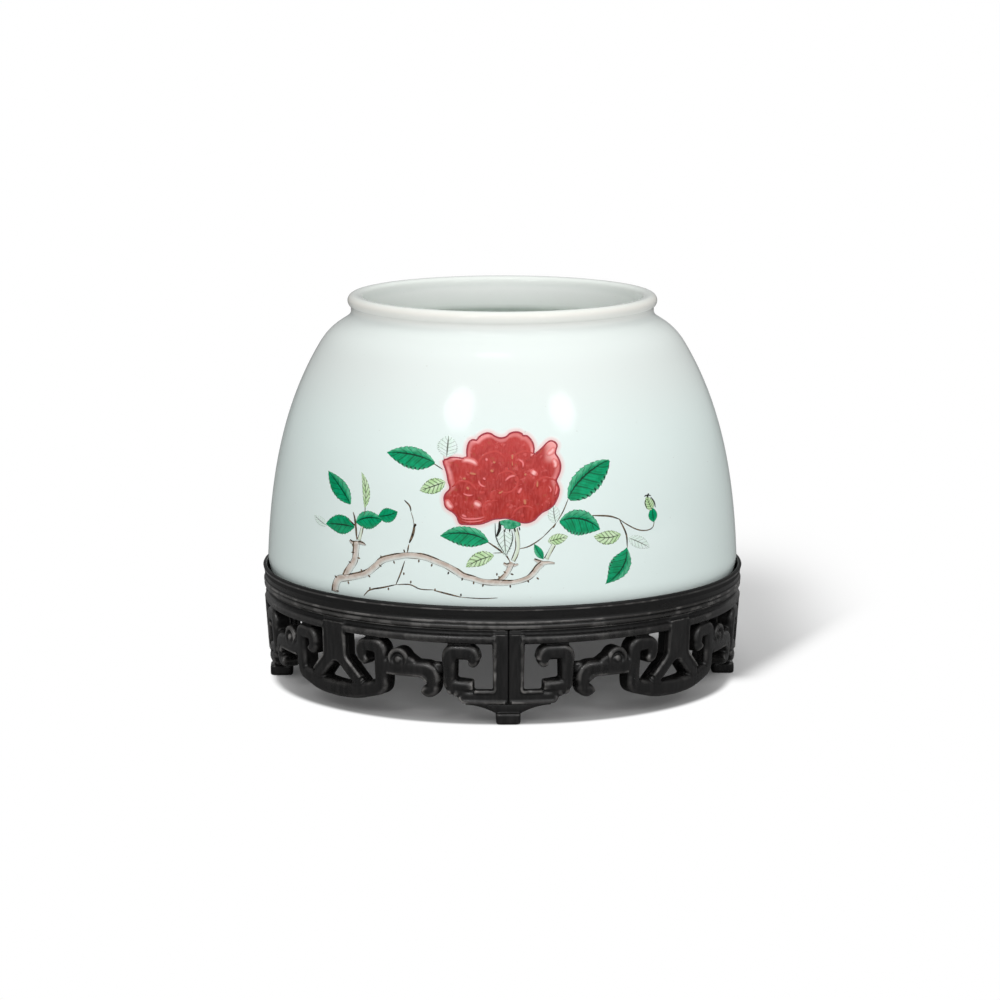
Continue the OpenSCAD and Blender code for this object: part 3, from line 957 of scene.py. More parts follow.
inside_rows = np.clip((np.arange(len(pot_profile)) - lip_row) / 10, 0, 1)
glaze_marks = {
    # inside the pot: painted light, whiter than the outside
    "deep": inside_rows * np.clip((pot_h - 1 - row_h) / 2, 0, 1),
    "lip": (1 - 0.7 * inside_rows) * hump(LIP_HEIGHT, LIP_WIDTH),
    "under_lip_lightening": (1 - inside_rows) * hump(UNDER_LIP_LIGHT_HEIGHT, UNDER_LIP_LIGHT_WIDTH),
    "bare": ((row_h < BARE_HEIGHT) & (row_r > foot_ring_in_r - 0.6)).astype(float),
}
keep_marks(pot.data, {mark: row_marks(values) for mark, values in glaze_marks.items()})
print("glaze rows marked:", {mark: int((values > 0.5).sum()) for mark, values in glaze_marks.items()})

# %% [markdown]
# The finish mixes its colours by these marks and by height, and adds the faint waves and the few pinholes
# of a fired glaze. Light scattered under the surface could stand for the glaze's depth, but a gloss over a
# pale body is simpler and keeps its tone in any light.

# %% Glaze
SHOULDER_Z = (0.066, 0.086)
MOUTH_LIGHT_Z = (0.086, 0.095)
glaze = Finish("porcelain_glaze")
height = glaze.axis("Z")
pinholes = glaze.noise(0.5, detail=1, seed=2.0).step(0.80, 0.84)
bare = glaze.mark("bare")
body = glaze.mix(glaze.noise(14, detail=2), paint(223, 236, 233), paint(226, 238, 235))
body = glaze.mix(height.step(*SHOULDER_Z), body, paint(223, 230, 227))
# under the lip: painted light
body = glaze.mix(glaze.mark("under_lip_lightening"), body, paint(252, 253, 249))
# inside, lightest towards the mouth: painted light
inside_painted_light = glaze.mix(height.step(*MOUTH_LIGHT_Z), paint(233, 240, 235), paint(253, 255, 253))
body = glaze.mix(glaze.mark("deep"), body, inside_painted_light)
body = glaze.mix(glaze.mark("lip") * 0.8, body, paint(234, 231, 223))
body = glaze.mix(pinholes * 0.5, body, paint(150, 140, 120))
biscuit = glaze.mix(glaze.noise(0.8), paint(222, 208, 186), paint(236, 226, 208))
body = glaze.mix(bare, body, biscuit)
waves = glaze.noise(2.6, detail=1) + 0.4 * glaze.noise(7, detail=1)
coat(pot, glaze.surface(
    Base_Color=body, Roughness=0.11 + 0.5 * bare, Normal=glaze.bump(waves, 0.05, 0.35),
    Specular_IOR_Level=0.25,
))
print("glaze:", len(glaze.tree.nodes), "nodes")

# %% [markdown]
# The spray is painted over the glaze in enamels, which stand up from it very slightly. Each stroke is a
# thin lens-shaped section carried along its path on the pot's side, its edges dipping under the glaze. The
# glaze's own colour could hold the painting, but a closed form catches the light as thick enamel does.

# %% Brush strokes
outside_r, outside_z = outside[:, 0], outside[:, 1] + seat_z
outside_slope = np.gradient(outside_r, outside_z)


def on_pot(x, z, lift):
    """A point of the painting: x to the right of its middle, z over the table, lifted along the normal."""
    r = np.interp(z, outside_z, outside_r)
    slope = np.interp(z, outside_z, outside_slope)
    lean = np.sqrt(1 + slope**2)
    turn = np.arcsin(x / r) - np.pi / 2 + VIEW_TURN
    r = r + lift / lean
    return np.stack([r * np.cos(turn), r * np.sin(turn), z - lift * slope / lean], -1)


def flowing(points, step=0.35):
    """A smooth path through points: on each leg a cubic that leaves and arrives in the way of its
    neighbours. Further columns, such as a width, flow along with it."""
    p = np.asarray(points, float)
    p = np.concatenate([2 * p[:1] - p[1:2], p, 2 * p[-1:] - p[-2:-1]])
    t = np.linspace(0, 1, 12, endpoint=False)[:, None]
    a, b, c, d = (p[i:len(p) - 3 + i, None] for i in range(4))
    legs = b + 0.5 * ((c - a) * t + (2 * a - 5 * b + 4 * c - d) * t**2 + (3 * b - a - 3 * c + d) * t**3)
    return even(np.concatenate([legs.reshape(-1, p.shape[1]), p[-2:-1]]), step)


UNDER = -0.06
EDGE = -0.02


def stroke(path, half, thick=0.07, lanes=9, tone=0.0):
    """A stroke of enamel: over the top from one edge to the other the lift is thick (1 - s^4), and the
    underside lies in the glaze. It keeps marks along it, across it and of its tone."""
    s = np.linspace(1, -1, lanes)
    around = np.concatenate([s, s[-2:0:-1]])
    lift = np.concatenate([EDGE + thick * (1 - s**4), np.full(lanes - 2, UNDER)])
    x, z = spread(path, half, around)
    rows, cols = x.shape
    marks = {
        "along": np.concatenate([np.repeat(np.linspace(0, 1, rows), cols), [0, 1]]),
        "across": np.concatenate([np.tile(around, rows), [0, 0]]),
        "tone": np.full(rows * cols + 2, tone),
    }
    return tube(on_pot(x, z, lift)), marks


def add_strokes(name, strokes):
    """Several strokes as one piece on the pot."""
    points, faces = joined([shell for shell, _ in strokes])
    marks = {key: np.concatenate([kept[key] for _, kept in strokes]) for key in strokes[0][1]}
    return add_piece(name, points, faces, "pot", "porcelain", marks=marks)


def line(points, width, thick=0.06, tone=0.0, lanes=5):
    """A thin line through points that swells from fine ends as sin(pi t)^0.4."""
    path = flowing(points)
    swell = np.sin(np.pi * np.linspace(0.02, 0.98, len(path))) ** 0.4
    return stroke(path, width / 2 * swell, thick, lanes, tone)


mid_lean = np.degrees(np.arctan(-outside_slope[len(outside_slope) // 2]))
print("the pot's side leans", round(float(mid_lean), 1), "degrees in mid height")

# %% [markdown]
# The branch comes first, as the painter laid it: a pale brown wash with a darker line along it and thorns.
# A hand's line has no formula, so each is a row of points: millimetres to the right of the pot's front and
# over the table, and a last number in a row is a width. A thorn is given by its tip and grows from the
# nearest point of the branch.

# %% Branch and twigs
BRANCH = [
    [-41.2, 29.9, 1.5], [-40.8, 32.2, 1.6], [-40, 33.4, 1.7], [-38, 34, 1.5], [-35.8, 34.7, 1.5],
    [-33.2, 35.8, 1.5], [-31, 37.7, 1.5], [-29.4, 39.3, 1.5], [-27.2, 40.2, 1.4], [-25, 40.8, 1.4],
    [-23.1, 41.2, 1.4], [-20.6, 41.2, 1.4], [-18.4, 40.9, 1.4], [-16, 40.1, 1.4], [-13.5, 39.2, 1.4],
    [-11.3, 38, 1.5], [-9.5, 36.9, 1.4], [-7, 36.3, 1.3], [-4.5, 35.6, 1.3], [-0.8, 35.4, 1.4],
    [1.8, 35.4, 1.1], [4.1, 35.8, 1.1], [6.3, 36.6, 1.2], [7.6, 37.7, 1.3], [8.6, 39, 1.4],
    [9.7, 39.9, 1.3],
]
SPROUTS = [
    [[-38.5, 34.3, 1.4], [-37.4, 36.4, 1.6], [-36.3, 38.2, 1.5], [-35.9, 39.8, 1.4], [-35.6, 43.1, 1.5]],
    [[-0.8, 35.7, 1.1], [0.7, 37.2, 1.1], [1.5, 38.5, 1.2], [2.3, 40.4, 1.3]],
    [[-37.4, 43.3, 0.3], [-36.6, 42.7, 0.8], [-35.4, 42.9, 0.9], [-34.3, 43.4, 0.3]],
    [[-35.2, 43, 0.3], [-34.3, 42.9, 0.7], [-33.4, 42.6, 0.2]],
    [[0.2, 40.1, 0.3], [1.1, 39.6, 0.7], [2, 39.8, 0.9], [2.8, 39.6, 0.7], [3.8, 39.9, 0.3]],
    [[7.6, 41, 0.3], [8.9, 40.3, 0.8], [10, 40, 0.9], [11, 40.1, 0.7], [12.6, 39.9, 0.3]],
]
STEMS = [
    [[3.1, 48.5, 0.9], [3.6, 46.2, 1], [3.7, 44, 1], [3.2, 42.2, 1], [2.5, 40.7, 0.9]],
    [[12.4, 44.4, 0.9], [11.4, 42.6, 0.9], [10.6, 41, 1]],
    [[-34.2, 47, 0.5], [-34.7, 44.9, 0.7], [-35.1, 43.6, 0.8]],
]
TWIGS = [
    [[-23.8, 54.4], [-22.7, 53.4], [-22.3, 52.6], [-22.2, 51.8], 0.5],
    [[-22.2, 51.8], [-21.7, 50.2], [-21.5, 48.7], 0.22],
    [[-21.3, 49], [-21.5, 47.3], [-21.9, 45.9], [-22.6, 44.2], 0.8], [[-22.7, 43.9], [-23.1, 41.8], 0.42],
    [[-23.7, 39.8], [-24.7, 36.8], [-25.9, 33.8], 0.42],
    [[-25.9, 33.8], [-29, 32.8], [-32.3, 31.8], [-33.9, 30.1], 0.48],
    [[-25.9, 33.8], [-22.5, 34.1], [-20, 33.2], [-16.6, 33.2], 0.38], [[-16.6, 33.1], [-10, 31.7], 0.5],
    [[-10, 31.7], [-5, 31.5], [-1.1, 31.7], 0.3],
    [[-35.6, 43.6], [-35.8, 46.4], [-36.1, 48.8], [-36.5, 50.2], 0.6],
    [[-35.9, 46.9], [-37.6, 48.2], 0.5], [[-33.7, 49.4], [-33.5, 51.6], [-33.7, 54], 0.25],
    [[1.8, 40.6], [0.4, 42.5], [-3.6, 45.3], 0.55], [[-2.3, 42.6], [0.2, 42.7], 0.22],
    [[4.1, 43.6], [6.2, 44.1], [8.4, 45.3], [10, 46.5], 0.38], [[10, 46.5], [12.9, 49.4], 0.32],
    [[13, 49.6], [14.6, 52.2], [15.9, 55.2], 0.34], [[21.7, 50.9], [25.9, 50.4], [28.6, 49.4], 0.5],
    [[28, 49.7], [30.9, 47.6], [33.3, 46.3], [35.5, 46], [36.8, 46.6], [37.2, 48.4], 0.36],
    [[28.4, 49.5], [30.1, 45.7], [30.4, 42.4], 0.48], [[-16.8, 63.6], [-14.4, 62.2], 0.32],
    [[12.9, 49.5], [12.2, 48.4], 0.5],
]
THORNS = [
    [-41.1, 33.9], [-37.7, 32.6], [-40.3, 30.2], [-37.5, 38], [-36.8, 40.4], [-36.6, 42], [-34.9, 39.2],
    [-34.5, 36.5], [-29.6, 40.4], [-29.6, 37.9], [-26.3, 39], [-20.3, 39.8], [-23.9, 42.4], [-13.2, 37.3],
    [-9.8, 35.9], [-7, 35.1], [-4.8, 34.5], [-0.9, 36.9], [1.9, 34.3], [2.5, 37.4], [8.7, 36.2],
    [6.3, 35.5], [0.4, 38.1], [-32.4, 35], [-17.2, 39],
]
KNOTS = [
    [-22.3, 34.8], [-27.8, 32.6], [-32.4, 32.2], [-24, 36.7], [-16.4, 33.3], [-10.1, 32.3], [-1.4, 37.5],
    [-21.1, 48.7],
]
WASH_T = 0.05
LINE_T = 0.075


def rim_line(path, side, width, keep):
    """A line along one edge of a wash. keep in 0..1 thins it where a slow wave falls below it."""
    edge = path[:, :2] + side * path[:, 2:] / 2 * sideways(path)
    wave = 0.5 + 0.5 * np.sin(np.arange(len(edge)) * 0.23 + 2.0 * side)
    return stroke(edge, width / 2 * np.clip((wave - 1 + keep) * 2, 0.25, 1), LINE_T, 5)


limbs = [flowing(BRANCH)] + [flowing(sprout) for sprout in SPROUTS]
stems = [flowing(stem) for stem in STEMS]
every_limb = np.concatenate(limbs)


def thorn(tip):
    """A short tick that points away from the nearest branch and ends at the thorn's tip."""
    tip = np.array(tip)
    nearest = every_limb[np.argmin(np.linalg.norm(every_limb[:, :2] - tip, axis=1))]
    way = unit(tip - nearest[:2])
    return line([tip - 0.6 * way, tip + 0.15 * way], 0.5)


washes = [stroke(limb, limb[:, 2] / 2, WASH_T) for limb in limbs]
washes += [stroke(stem, stem[:, 2] / 2, WASH_T, tone=1.0) for stem in stems]
ink = [line(points, width) for *points, width in TWIGS]
for limb in limbs:
    ink += [rim_line(limb, 1, 0.42, 0.85), rim_line(limb, -1, 0.2, 0.45)]
for stem in stems:
    ink += [rim_line(stem, 1, 0.26, 0.9), rim_line(stem, -1, 0.3, 0.9)]
ink += [thorn(tip) for tip in THORNS]
ink += [line([[x, z - 0.4], [x + 0.1, z + 0.3]], 0.5) for x, z in KNOTS]
branch = add_strokes("spray_branch", washes)
twigs = add_strokes("spray_twigs", ink)

# %% [markdown]
# The leaves are of three kinds: some washed in deep green over black veins, some in a pale green, and some
# left as drawings. An outline could be drawn for each, but then its veins would have no direction to follow.
# So a leaf is one broad stroke whose half width follows a power of a sine, with small teeth. Its midrib lies
# off its middle, and the narrow side is lighter. The finish draws the veins and the ticks of the margin from
# the marks, in which 0 across is the midrib.

# %% Leaves
DEEP_LEAVES = [
    [-37.2, 52, -42.8, 59, 4.4, 0, -0.15, 0.85], [-36.2, 46.6, -43.4, 46.2, 4.8, -0.1, 0, 0.85],
    [-35.7, 47.8, -29.2, 49.2, 4.5, 0.1, 0.25, 0.8], [-30.2, 50, -25.5, 51.5, 3.6, -0.12, 0, 0.8],
    [-16.4, 63.6, -28, 65.3, 5.4, -0.02, -0.3, 0.8], [-3.4, 45.3, -15, 46.4, 5.2, -0.13, -0.25, 0.85],
    [16.1, 55.1, 25.9, 63.6, 6.9, 0.03, 0.4, 0.65], [13.8, 49.8, 23.6, 47.4, 6.3, 0.15, 0.3, 0.8],
    [9.9, 41, 7.7, 44.7, 2, 0.05, 0.1, 0.9], [30.3, 42.4, 25, 34, 5.4, 0.16, 0.3, 1.15],
    [37, 47.8, 36.5, 51.3, 2.3, 0, 0, 0.75],
]
PALE_LEAVES = [
    [-33.6, 51.6, -34.4, 60, 1.9, -0.18, 0.1, 0.8], [-13.8, 59.3, -20, 56.9, 3.7, 0, 0, 0.8],
    [-2.1, 42, -8.8, 39.1, 3.5, -0.15, 0.1, 0.8], [11, 45.2, 15.8, 46.2, 2.7, 0, 0, 0.7],
    [28.7, 45.8, 22.2, 45.9, 3.5, 0.18, 0, 0.75], [36.5, 50.7, 35.2, 54, 2.3, 0, 0, 0.6],
]
GHOST_LEAVES = [
    [-43.2, 45.9, -46.4, 47.8, 2.2, 0.1, 0, 0.7], [-13.5, 65.2, -13, 70.2, 5.2, 0, 0, 0.7],
    [0.3, 48.8, 0.8, 41.8, 4, 0, 0, 0.8], [12.9, 49.6, 12.4, 54, 3.2, 0.1, 0, 0.7],
    [30.7, 44.7, 35.9, 41.7, 3, 0.05, 0, 0.75],
]
LEAF_STEPS = 54
TEETH, TOOTH = 10, 0.12


def leaf(x0, z0, x1, z1, width, bow, rib, full, tone):
    """A leaf from its base to its tip, its midrib bowed aside by a share of its length. full, below 1,
    makes it blunter, and rib moves the midrib off the middle."""
    base_point, tip_point = np.array([x0, z0]), np.array([x1, z1])
    run = tip_point - base_point
    middle = base_point + 0.5 * run + bow * np.array([-run[1], run[0]])
    path = bezier([base_point, middle, tip_point], LEAF_STEPS)
    t = np.linspace(0, 1, LEAF_STEPS)
    teeth = 1 + TOOTH * (1 - (TEETH * t) % 1)
    half = width / 2 * np.sin(np.pi * np.clip(t, 0.012, 0.988) ** 0.88) ** full * teeth
    shell, marks = stroke(path, half, 0.07, 17, tone if rib else tone + 0.1)
    side = marks["across"] - rib
    marks["across"] = np.where(side > 0, side / (1 - rib), side / (1 + rib)) * (-1 if rib > 0 else 1)
    return shell, marks


kinds = [(DEEP_LEAVES, 0.0), (PALE_LEAVES, 0.5), (GHOST_LEAVES, 0.9)]
leaves = add_strokes("spray_leaves", [leaf(*shape, tone) for shapes, tone in kinds for shape in shapes])

# %% [markdown]
# The flower is one red bloom with scalloped petals. Its outline is a closed flowing curve, filled with
# rings that shrink towards its middle, because a plain filled face would not follow the pot's round side.
# Colour has bled a little round it in the firing, which a second, broader stroke along the outline gives.

# %% Flower
FLOWER = np.array([
    [-14.3, 64.4], [-13.6, 64.6], [-12.5, 65.1], [-11.1, 65.1], [-9.4, 65], [-8.6, 65.3], [-8.6, 66.6],
    [-8.4, 68], [-7.9, 69], [-7.1, 69.4], [-6.3, 69.3], [-5.7, 70], [-4.9, 70.6], [-3.7, 71],
    [-2.7, 70.8], [-1.9, 70.3], [-0.8, 69.9], [0.1, 69.9], [1, 70.2], [1.8, 70.9], [2.8, 71.2],
    [3.8, 71.2], [4.7, 70.8], [5, 70.4], [5.9, 70.3], [6.7, 69.6], [7.3, 68.7], [7.6, 67.5], [7.6, 66.2],
    [8.5, 66.2], [9, 66.9], [9.8, 67.6], [10.7, 68.5], [11.6, 69], [12.6, 68.7], [13.2, 67.9],
    [12.9, 66.9], [12.8, 66], [13.5, 64.9], [14, 63.6], [14, 62.2], [13.5, 60.8], [13, 59.7],
    [13.3, 58.8], [13.7, 57.6], [13.5, 56.2], [12.9, 54.8], [12.1, 53.6], [11, 52.9], [9.7, 52.3],
    [8.7, 51.5], [7.7, 50.5], [6.3, 49.9], [4.9, 49.9], [3.5, 50.3], [2.5, 50.6], [0.9, 51], [-0.6, 50.9],
    [-2.2, 50.7], [-3.7, 50.1], [-5.1, 49.6], [-7, 49.4], [-8.9, 49.4], [-10.2, 49.5], [-10.7, 50.3],
    [-11.1, 51.3], [-12, 52.2], [-13.2, 52.9], [-13.9, 54], [-14.1, 55.5], [-13.7, 56.6], [-12.9, 57.4],
    [-12.7, 58.2], [-13.1, 59.5], [-13.4, 61.1], [-13.8, 62.5], [-14.2, 63.5],
])
flower_middle = np.array([0.0, 60.0])
PETAL_RINGS = 26


def flower_edge():
    """The outline flowing once round: it is carried a little past its start, and cut where it closes."""
    path = flowing(np.concatenate([FLOWER[-1:], FLOWER, FLOWER[:2]]))
    near = np.linalg.norm(path - FLOWER[0], axis=1)
    start = np.argmin(near[:len(path) // 3])
    return path[start:len(path) // 2 + np.argmin(near[len(path) // 2:])]


def bloom():
    """Rings of the outline shrunk to the middle by rho. The lift is flat and falls off at the very rim."""
    rho = np.concatenate([[1, 0.992, 0.98], np.linspace(0.96, 0.04, PETAL_RINGS - 3)])[:, None]
    xz = flower_middle + rho[:, None] * (flower_edge() - flower_middle)
    x, z = np.concatenate([xz[:1], xz]).transpose(2, 0, 1)
    lift = np.concatenate([[[UNDER]], EDGE + 0.08 * (1 - rho**60)])
    poles = on_pot(*flower_middle, np.array([UNDER - 0.1, 0.06]))
    rows, cols = x.shape
    marks = {
        "along": np.concatenate([np.tile(np.linspace(0, 1, cols), rows), [0, 0]]),
        "across": np.concatenate([np.repeat(np.concatenate([[1], rho[:, 0]]), cols), [0, 0]]),
        "tone": np.zeros(rows * cols + 2),
    }
    return tube(on_pot(x, z, lift), poles, inside_out=True), marks


contour = np.concatenate([flower_edge(), FLOWER[:1]])
halo = add_strokes("spray_halo", [stroke(contour, np.full(len(contour), 1.5), 0.035, 11)])
flower = add_strokes("spray_flower", [bloom()])

# %% [markdown]
# The touches are short strokes of white, pink and ochre over the red, the folds of the petals, the green
# calyx, the hairs under it and the bud's outline. A row ends in the width and the tone of its stroke, and
# the finish knows the colour by the tone.

# %% Touches
WHITE, PINK, YELLOW, ROSE, RIM, GREEN, BLACK = 0.0, 0.2, 0.4, 0.6, 0.7, 0.8, 1.0
TOUCHES = [
    [[-10, 64.3], [-8.5, 64.6], [-7, 64.2], [-5.9, 63.3], 2.24, WHITE],
    [[10.7, 65.8], [11.9, 66.5], [12.5, 67.5], 2.08, WHITE],
    [[12.1, 64.8], [12.8, 63.7], [12.6, 62.5], 2.08, WHITE],
    [[12.8, 58.8], [13.1, 57.6], [12.6, 56], 1.26, PINK],
    [[11.1, 58.6], [11.7, 57.6], [11.4, 56.7], 0.98, PINK],
    [[-13.4, 55.2], [-13, 53.9], [-11.9, 53.1], 2.56, WHITE],
    [[-10.7, 51.8], [-9.6, 50.9], [-8, 50.7], [-5.6, 50.9], [-3.7, 51.5], 0.98, PINK],
    [[-10.2, 50.3], [-8.2, 50], [-5.8, 50.2], [-3.7, 50.8], 0.77, PINK],
    [[-10, 51.7], [-8.5, 51.1], 1.4, PINK], [[-4.2, 64.6], [-3.5, 65], 1.96, PINK],
    [[2.4, 66.2], [2.4, 64.6], 1.35, YELLOW], [[2.3, 64.6], [2.4, 63.2], 0.81, YELLOW],
    [[7.2, 61.1], [7.9, 62.2], 3.2, WHITE], [[0.4, 59.6], [1.8, 60.8], [3.6, 61.1], 1.4, PINK],
    [[8.4, 60], [8.4, 58], 1.35, YELLOW], [[-5.9, 60.2], [-5.3, 58.9], [-3.9, 58.3], 1.19, PINK],
    [[-8.2, 61.6], [-6.1, 61.3], 1.35, YELLOW], [[-8.7, 58.4], [-8, 57.6], 1.62, YELLOW],
    [[-7, 54.7], [-5.1, 53.8], 2.56, WHITE], [[4.7, 58.3], [3.7, 56.7], 1.82, PINK],
    [[-1.1, 56.8], [0.3, 57.5], 1.35, YELLOW], [[5.3, 55.6], [5.5, 54], 1.76, YELLOW],
    [[-2.7, 55.2], [-2.7, 56.7], [-1.7, 57.6], 1.12, ROSE], [[1, 54.3], [1.6, 53.8], 1.65, ROSE],
    [[3.6, 65.1], [4.9, 64.1], [4.9, 62.7], 1.26, PINK], [[-2.4, 64.4], [-1.6, 64], 1.35, YELLOW],
    [[0.9, 63], [1, 61.6], 1.5, ROSE], [[-3, 62.4], [-2.1, 61.9], 1.76, YELLOW],
    [[5.2, 61.1], [5.8, 61.5], 1.49, YELLOW], [[-9.8, 56.8], [-8.2, 56.3], [-6.8, 56.5], 1.05, PINK],
    [[-4.8, 60.6], [-4, 60], 1.4, PINK], [[4.4, 51.7], [5.3, 51.4], 1.65, ROSE],
    [[-1.6, 68.8], [-1, 68.4], 1.35, ROSE], [[-0.5, 68.1], [0.2, 68.3], 1.2, ROSE],
    [[3, 59.7], [3.8, 60.5], 1.65, ROSE], [[-5.8, 56.9], [-4.2, 57.1], 1.2, ROSE],
    [[-4.5, 53.2], [-3.5, 52.9], 1.5, ROSE], [[-9.7, 60.4], [-8.7, 60.1], 1.49, YELLOW],
    [[-6.2, 63], [-4.8, 65.6], [-1.6, 66.7], [0.7, 65.1], 0.9, ROSE],
    [[7.4, 66.2], [5.4, 66.7], [3, 65.8], [2.1, 63.6], 0.9, ROSE],
    [[-12.2, 58.2], [-10.1, 59.6], [-7.8, 59.2], [-6.2, 57.4], 0.9, ROSE],
    [[13, 59.7], [10.4, 60.5], [8.4, 59.6], [7.2, 57.4], 0.9, ROSE],
    [[-3.9, 50.6], [-4.8, 52.5], [-3.9, 54.7], [-1.1, 55.2], 0.9, ROSE],
    [[2.3, 50.9], [3, 52.7], [5.3, 53.8], [7.7, 53.1], 0.9, ROSE],
    [[-1.6, 59.7], [-0.7, 61.5], [1.9, 62], [3.7, 60.2], [3, 57.9], [0.7, 57], [-1.6, 57.9], 0.9, ROSE],
    [[-0.7, 49.9], [1.8, 49.8], [4.4, 49.4], 1.9, GREEN],
    [[0.3, 48.9], [1.9, 48.8], [3.4, 48.9], 1.1, GREEN],
    [[-0.7, 50.3], [-0.7, 48.4], [-1.4, 46.6], 0.85, BLACK], [[0.7, 48.6], [0.5, 47.6], 0.4, BLACK],
    [[1.8, 48.5], [1.7, 47.7], 0.4, BLACK], [[2.9, 48.7], [3.1, 47.6], 0.45, BLACK],
    [[4, 48.9], [4.2, 48], 0.35, BLACK], [[-1.8, 49.8], [-1.5, 46.2], [0.2, 43], [0.8, 42], 0.28, BLACK],
    [[2.2, 48.1], [2.5, 46.2], [1.8, 44], [0.8, 42], 0.28, BLACK],
    [[37.4, 51.2], [37.1, 52.6], [36.2, 53.9], 0.3, BLACK], [[35.3, 53.7], [35.7, 54.8], 0.5, BLACK],
    [[34.6, 54.2], [35.4, 54.5], 0.35, BLACK], [[35.3, 51.2], [34.8, 52.6], [35.1, 53.5], 0.25, BLACK],
    [[35.6, 54.4], [36.3, 54.2], 0.3, BLACK],
]
touches = [line(points, width, 0.11, tone, 7) for *points, width, tone in TOUCHES]
touches.append(stroke(contour, np.full(len(contour), 0.24), 0.1, 5, RIM))
touched = add_strokes("spray_touches", touches)

# %% [markdown]
# Each enamel has its own finish. All are glassy. Where the brush left more colour a wash is deeper, so each
# is mottled by slow noise and thins towards its edges. The branch is a grey-brown wash that fades to the
# glaze at its lower side, and the ink is black where it is thick and brown where it is thin.

# %% Enamels of the branch
GLAZE_TONE = paint(225, 237, 234)


def enamel(name, colour_of):
    """A glassy finish whose colour comes from a function of the new finish."""
    finish = Finish(name)
    bump = finish.bump(finish.noise(0.7), 0.03, 0.3)
    return finish.surface(Base_Color=colour_of(finish), Roughness=0.16, Normal=bump, Specular_IOR_Level=0.25)


def branch_colour(f):
    """A mottled brown wash, green on the stems, which fades to the glaze across its width."""
    across = f.mark("across")
    wash = f.mix(f.noise(1.6).step(0.35, 0.65), paint(184, 168, 156), paint(208, 196, 186))
    wash = f.mix(f.mark("tone"), wash, paint(208, 220, 198))
    return f.mix(0.7 * across.step(0.3, -1.0), wash, GLAZE_TONE)


def ink_colour(f):
    """Black and brown mixed by noise."""
    return f.mix(f.noise(1.0).step(0.35, 0.65), paint(44, 36, 30), paint(116, 98, 78))


coat(branch, enamel("branch_wash", branch_colour))
coat(twigs, enamel("twig_ink", ink_colour))
print("branch and twigs coated")

# %% [markdown]
# A leaf's finish is drawn in its own two directions, along the midrib and across it. Stripes that slant
# back from the midrib are the veins, finer ones the hairs of the brush, and short ticks mark the margin.
# They could be strokes of their own, but the leaves would need hundreds. The tone says whether the leaf is
# deep green, pale or left as a drawing.

# %% Leaf enamel
VEINS, HAIRS, TICKS = 6, 15, 11
SLANT = 0.24


def leaf_colour(f):
    """A wash of the leaf's kind, lighter on the narrow half and at the edge, with its lines drawn on top."""
    along, across, tone = f.mark("along"), f.mark("across"), f.mark("tone")
    out = abs(across)
    is_pale, is_ghost = tone.step(0.3, 0.4), tone.step(0.7, 0.8)
    rib = out.step(0.1, 0.03)
    slant = along - SLANT * out
    stripe = abs((VEINS * slant).fraction() - 0.5)
    veins = stripe.step(0.09, 0.03) * out.step(0.95, 0.7) + stripe.step(0.2, 0.1) * is_pale * (1 - is_ghost)
    hairs = abs((HAIRS * slant).fraction() - 0.5).step(0.3, 0.05) * (1 - is_pale)
    ticks = (TICKS * along).fraction().step(0.5, 0.3) * out.step(0.74, 0.82)
    mottle = f.noise(1.6).step(0.3, 0.7)
    deep = f.mix(mottle, paint(0, 136, 88), paint(4, 164, 112))
    light_half = across.step(-0.1, -0.6) * tone.step(0.08, 0.02)
    deep = f.mix(light_half * (0.3 + 0.35 * mottle), deep, paint(112, 200, 160))
    deep = f.mix(hairs * out.step(0.9, 0.2) * 0.4, deep, paint(0, 96, 60))
    deep = f.mix(out.step(0.7, 1.1) * 0.5, deep, paint(150, 208, 184))
    pale = f.mix(mottle, paint(178, 214, 156), paint(208, 230, 194))
    ghost = f.mix(mottle, paint(216, 234, 224), GLAZE_TONE)
    wash = f.mix(is_ghost, f.mix(is_pale, deep, pale), ghost)
    line_colour = f.mix(is_pale, paint(6, 50, 36), paint(58, 68, 50))
    line_colour = f.mix(is_ghost, line_colour, paint(96, 102, 92))
    drawn = 1 - (1 - rib) * (1 - 0.65 * veins.step(0, 1)) * (1 - (0.9 - 0.3 * is_ghost) * ticks)
    return f.mix(drawn, wash, line_colour)


coat(leaves, enamel("leaf_enamel", leaf_colour))
print("leaves coated:", [len(shapes) for shapes, _ in kinds], "of each kind")

# %% [markdown]
# The flower's red is streaked and mottled, lighter towards the top, with rubbed and browner spots. The
# touches read the same red, so that their edges fade into it as wet colours do.

# %% Flower enamels
def halo_colour(f):
    """The glaze with a pink that fades to both sides of the outline."""
    return f.mix(abs(f.mark("across")).step(0.95, 0.1) * 0.55, GLAZE_TONE, paint(240, 170, 170))


def petal_red(f):
    """The red ground, from places alone, so that the touches can fade into the very same red."""
    side, height = f.axis("X"), f.axis("Z")
    streak = f.noise(0.5, (1, 1, 0.25), 3, seed=4.0).step(0.35, 0.7)
    mottle = f.noise(3.2, detail=3).step(0.3, 0.7)
    red = f.mix(mottle, paint(152, 32, 28), paint(174, 46, 40))
    red = f.mix(height.step(0.052, 0.072) * 0.35, red, paint(204, 76, 78))
    red = f.mix(streak * 0.4, red, paint(200, 86, 82))
    red = f.mix(f.noise(1.5, seed=9.0).step(0.58, 0.7) * 0.45, red, paint(216, 106, 104))
    red = f.mix(f.noise(1.3, seed=15.0).step(0.6, 0.72) * 0.4, red, paint(160, 82, 52))
    tip = side.step(0.0082, 0.0104) * height.step(0.0634, 0.0654)
    return f.mix(tip * (0.6 + 0.3 * mottle), red, paint(240, 172, 168))


